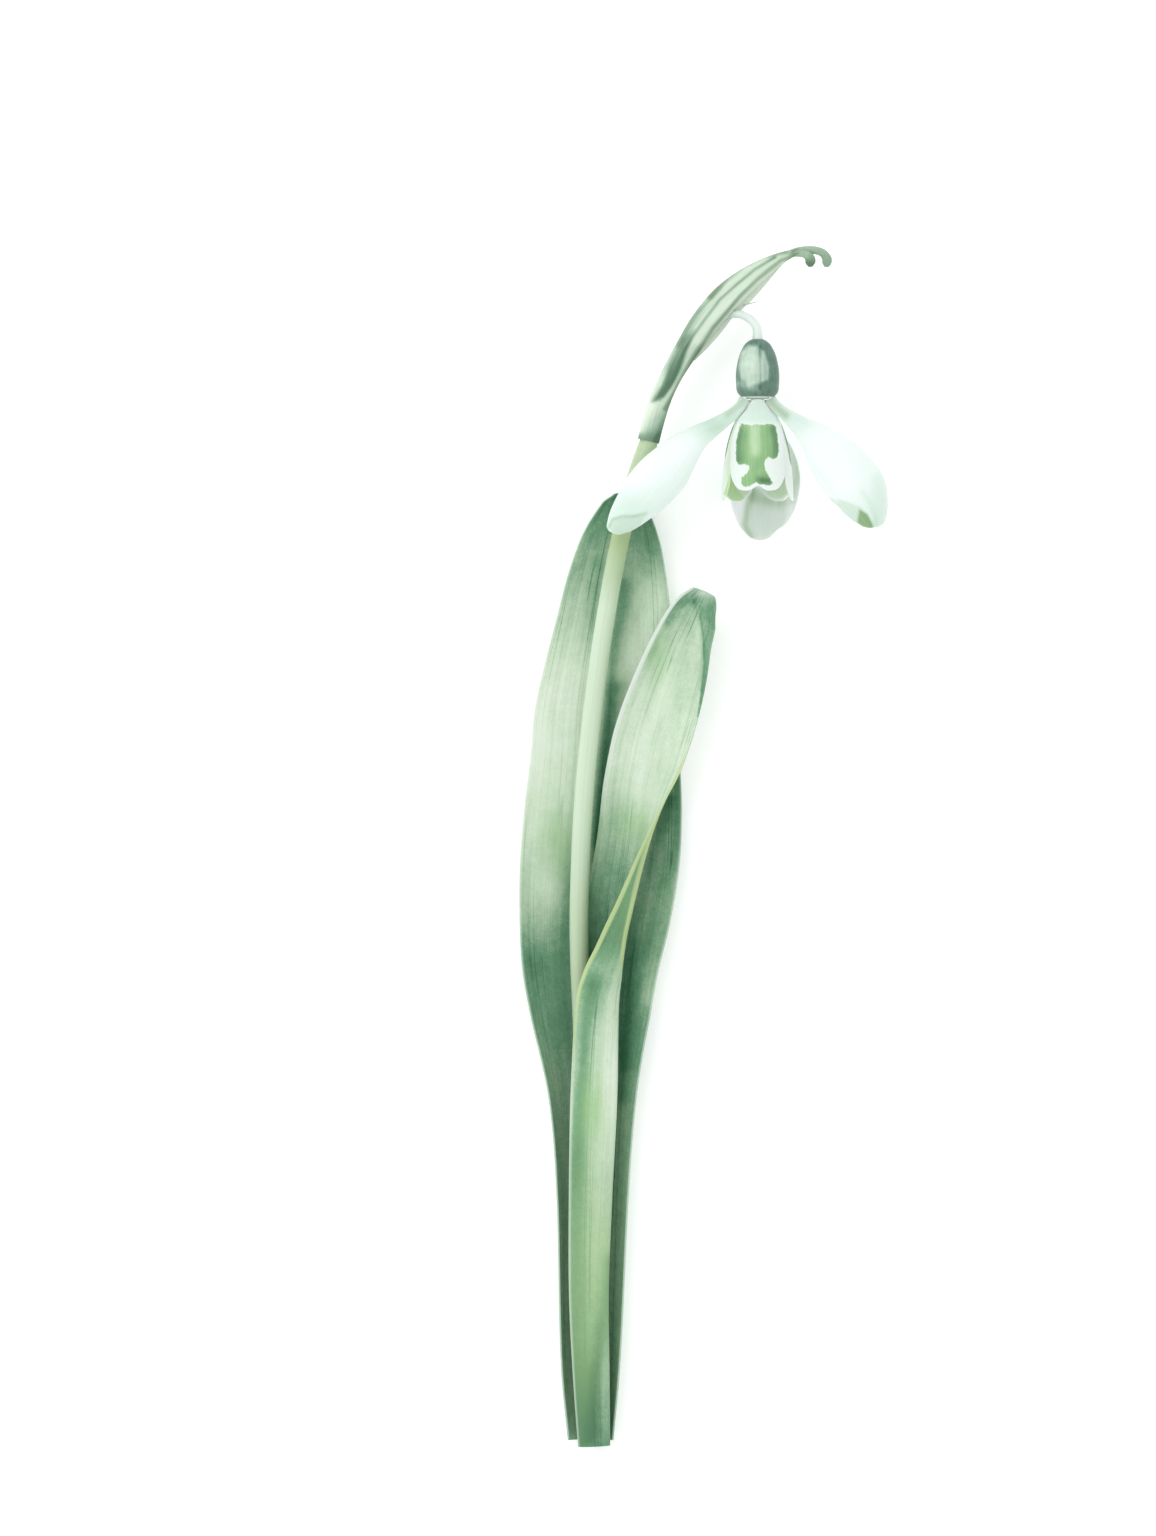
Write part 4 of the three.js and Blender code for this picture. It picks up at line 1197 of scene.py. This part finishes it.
def beside(stations, degrees):
    """The stations of an inner petal turned about the flower's axis, longer, wider and more curled."""
    angle = np.radians(degrees)
    moved = []
    for i, (_, y, z, half, curl) in enumerate(stations):
        share = i / (len(stations) - 1)
        out = (z - FLOWER_Z) * (1 + SIDE_FLARE * share)
        place = [FLOWER_X + out * np.sin(angle), y - SIDE_LONGER * share, FLOWER_Z + out * np.cos(angle)]
        moved.append([*place, half * SIDE_WIDER, curl * SIDE_CURL])
    return moved


def wrapped(surface, degrees):
    """A side petal's surface, reaching round the claw towards the front petal and less far at the back."""
    def reaching(u, v):
        to_front = -np.sign(degrees) * v > 0
        return surface(u, v * np.where(to_front, np.interp(u, *CLAW_WRAP), LESS_AT_BACK))
    return reaching


# %% Marks
MARK = [
    (5.6, 63.4), (6.4, 63.2), (7.1, 63.05), (8, 63.25), (8.8, 63.15), (9.65, 63.25), (10.3, 63.25),
    (10.8, 62.95), (11, 61.7), (11.2, 60.05), (11.25, 59.15), (10.9, 58.25), (10.3, 58), (9.9, 58.35),
    (9.5, 58.3), (9.2, 57.9), (9, 57.3), (9.3, 56.15), (9.85, 55.25), (10.3, 54.5), (9.95, 54.05),
    (8.9, 54.2), (8.25, 54.3), (7.9, 54.65), (7.55, 54.45), (6.85, 53.95), (5.9, 53.9), (5.65, 54.4),
    (5.7, 55.25), (6.4, 55.9), (6.75, 56.6), (6.65, 57.05), (6.15, 57.3), (5.25, 57.2), (4.85, 57.75),
    (4.8, 59.15), (4.85, 60.5), (5.15, 62.15),
]
MARK_SIDES = [(5.15, 58.05), (5, 59.85), (5.3, 62.25)], [(10.9, 58.65), (10.9, 60.75), (10.4, 62.55)]
MARK_LIGHT = [(7.55, 62.55), (7.7, 59.25)]
MARK_DARK = [(8.45, 54.9), (9.65, 54.75)]


def faced_front(form, degrees):
    """The form with its points turned back about the flower's axis, to where the front petal's lie."""
    angle = np.radians(degrees)
    out_x, out_z = form.x - FLOWER_X, form.z - FLOWER_Z
    across = out_x * np.cos(angle) - out_z * np.sin(angle)
    upwards = out_x * np.sin(angle) + out_z * np.cos(angle)
    points = np.stack([FLOWER_X + across, form.y, FLOWER_Z + upwards], -1)
    return Form(points, form.faces, form.u, form.v, form.inside)


def mark_depth(form):
    return np.where(form.inside > 0, -1.0, np.clip(depth_in(form, MARK), -1, 1))


def mark_tone(form):
    sides = [(side, 1.4, 0.43) for side in MARK_SIDES]
    return 0.4 + strokes(form, (MARK_LIGHT, 1.4, -0.4), (MARK_DARK, 1.0, 0.6), *sides)


# %% Marked petal finish
MARK_TONES = [
    (0.0, paint(194, 224, 184)), (0.4, paint(154, 195, 143)), (0.75, paint(124, 166, 122)),
    (1.0, paint(96, 142, 102)),
]
CUP_TONES = [(0.0, paint(245, 254, 248)), (0.5, paint(222, 243, 230)), (1.0, paint(194, 221, 200))]
EDGE_RAGGED = 0.35
EDGE_SOFT = 0.1

marked_skin, tree, shader = plant_skin("marked_petal_skin", roughness=0.55, see_through=0.6, sheen=0.25)
streaks = stretched_noise(tree, across=30, along=3)
washes = stretched_noise(tree, across=6, along=6)
lines = veins(tree, 13)
white = toned(tree, varied(tree, brushed(tree, "tone"), (streaks, 0.15), (washes, 0.15)), CUP_TONES)
white = mixed(tree, brushed(tree, "green"), white, paint(186, 220, 158))
green = toned(tree, varied(tree, brushed(tree, "mark_tone"), (streaks, 0.5), (washes, 0.3)), MARK_TONES)
depth = varied(tree, brushed(tree, "mark"), (grain(tree, 0.5), EDGE_RAGGED), (streaks, EDGE_RAGGED))
colour = mixed(tree, between(tree, depth, -EDGE_SOFT, EDGE_SOFT), white, green)
dress(tree, shader, colour, calculated(tree, "MULTIPLY_ADD", lines, 0.4, streaks), depth=0.05)

# %% Inner petals
MINT_TOP = [(8.15, 67.35), (10.3, 65.55), (11.6, 63.45), (4.7, 63.45), (6.1, 65.55)]
RIM_LIGHT = 0.9


def cup_tone(form):
    tone = 0.12 + 0.42 * patch(form, MINT_TOP, 1.2) - 0.1 * step_up(np.abs(form.v), RIM_LIGHT, 1)
    return np.where(form.inside > 0, 0.2, tone)


BESIDE_FRONT = [(4.9, 63.45), (4.1, 60.3), (3.8, 57.3), (3.8, 54.75)]
FLARED_CORNER = [
    (3, 52.8), (3.5, 54.45), (3.8, 55.95), (4.4, 55.95), (5.15, 53.55), (6.2, 52.5), (5.6, 51.6),
    (3.95, 52.2),
]


def inner_green(form):
    away_from_rim = (1 - 0.9 * step_up(np.abs(form.v), 0.8, 0.97)) * step_up(0.985 - form.u, 0, 0.03)
    return 0.34 * form.inside * away_from_rim


def side_green(form):
    corner = patch(form, FLARED_CORNER, 0.3)
    outer = np.maximum(0.5 * stroke(form, BESIDE_FRONT, 0.6), 0.85 * corner)
    return np.where(form.inside > 0, np.maximum(inner_green(form), 0.7 * corner), outer)


def on_front(brush, degrees):
    return lambda form: brush(faced_front(form, degrees))


for petal, degrees in (("front", 0), ("left", -120), ("right", 120)):
    stations = beside(INNER_PETAL, degrees) if degrees else INNER_PETAL
    surface = blade(stations, FACING_UP + degrees, notched)
    form = sheet(wrapped(surface, degrees) if degrees else surface, *CUP_MESH, PETAL_THICKNESS)
    brushes = {
        "tone": on_front(cup_tone, degrees),
        "green": side_green if degrees else inner_green,
        "mark": on_front(mark_depth, degrees),
        "mark_tone": on_front(mark_tone, degrees),
    }
    make_piece(f"cup_petal_{petal}", [form], marked_skin, [f"inner_petal_{petal}"], brushes)

# %% [markdown]
# ## Stamens and style
# Six stamens stand in a ring under the neck, each a short thread with a long pointed orange anther that
# opens by a slit. The slender style runs down between them and past their tips. They hardly show from
# above, but they do when the flower is looked into.

# %% Stamens
PETAL_START = OVARY_TOP - OVARY_LENGTH - 0.34
STAMENS = 6
STAMEN_RING = 0.74
STAMEN_LENGTH = 6.4
STAMEN_PROFILE = [
    [0, 1, 0.18], [0.13, 1.2, 0.18], [0.22, 1.4, 0.36], [0.5, 1.45, 0.4], [0.8, 1.25, 0.3], [1, 1, 0.14],
]
ANTHER_ORANGE = paint(243, 182, 88)
ANTHER_CREAM = paint(250, 238, 196)

anther_skin, tree, shader = plant_skin("anther_skin", roughness=0.7, see_through=0.1)
pollen = grain(tree, 0.12)
orange = varied(tree, brushed(tree, "anther"), (pollen, 0.5))
orange = calculated(tree, "MULTIPLY", orange, 1.0, clamp=True)
dress(tree, shader, mixed(tree, orange, ANTHER_CREAM, ANTHER_ORANGE), pollen, depth=0.04)


def slit(u, angle):
    return 1 - 0.12 * np.abs(np.cos(2 * angle)) ** 6 * step_up(u, 0.2, 0.3)


def stamen(index):
    turn = 2 * np.pi * (index + 0.5) / STAMENS
    stations = []
    for down, out, radius in STAMEN_PROFILE:
        ring = STAMEN_RING * out
        x, z = FLOWER_X + ring * np.sin(turn), FLOWER_Z + ring * np.cos(turn)
        stations.append([x, PETAL_START - STAMEN_LENGTH * down, z, radius])
    return stalk(stations, 24, 60, ripple=slit)


stamen_brushes = {"anther": lambda form: step_up(form.u, 0.22, 0.36)}
for index in range(STAMENS):
    name = f"stamen_{index + 1}"
    make_piece(name + "_fine", [stamen(index)], anther_skin, [name], stamen_brushes)

# %% Style
STYLE_LENGTH = 12.6
STYLE_RADIUS = 0.25
STYLE_GREEN = paint(196, 214, 130)
STYLE_CREAM = paint(238, 243, 214)

style_skin, tree, shader = plant_skin("style_skin", roughness=0.5, see_through=0.2)
green = calculated(tree, "ADD", brushed(tree, "green"), stretched_noise(tree, across=6, along=8), clamp=True)
dress(tree, shader, mixed(tree, green, STYLE_CREAM, STYLE_GREEN), grain(tree, 0.2), depth=0.03)
style_stations = [
    [FLOWER_X, PETAL_START, FLOWER_Z, STYLE_RADIUS],
    [FLOWER_X, PETAL_START - STYLE_LENGTH / 2, FLOWER_Z, STYLE_RADIUS],
    [FLOWER_X, PETAL_START - STYLE_LENGTH, FLOWER_Z, 0.8 * STYLE_RADIUS],
]
style_brushes = {"green": lambda form: form.u - 0.4}
make_piece("style_fine", [stalk(style_stations, 20, 60)], style_skin, ["style"], style_brushes)

# %% [markdown]
# ## Sizes
# The finer pieces must not outgrow the solids, so each piece's extent and the solids' box are printed.

# %% Print the solids' box
print("solids in mm:", [[round(value / MM, 2) for value in corner] for corner in solid_box])
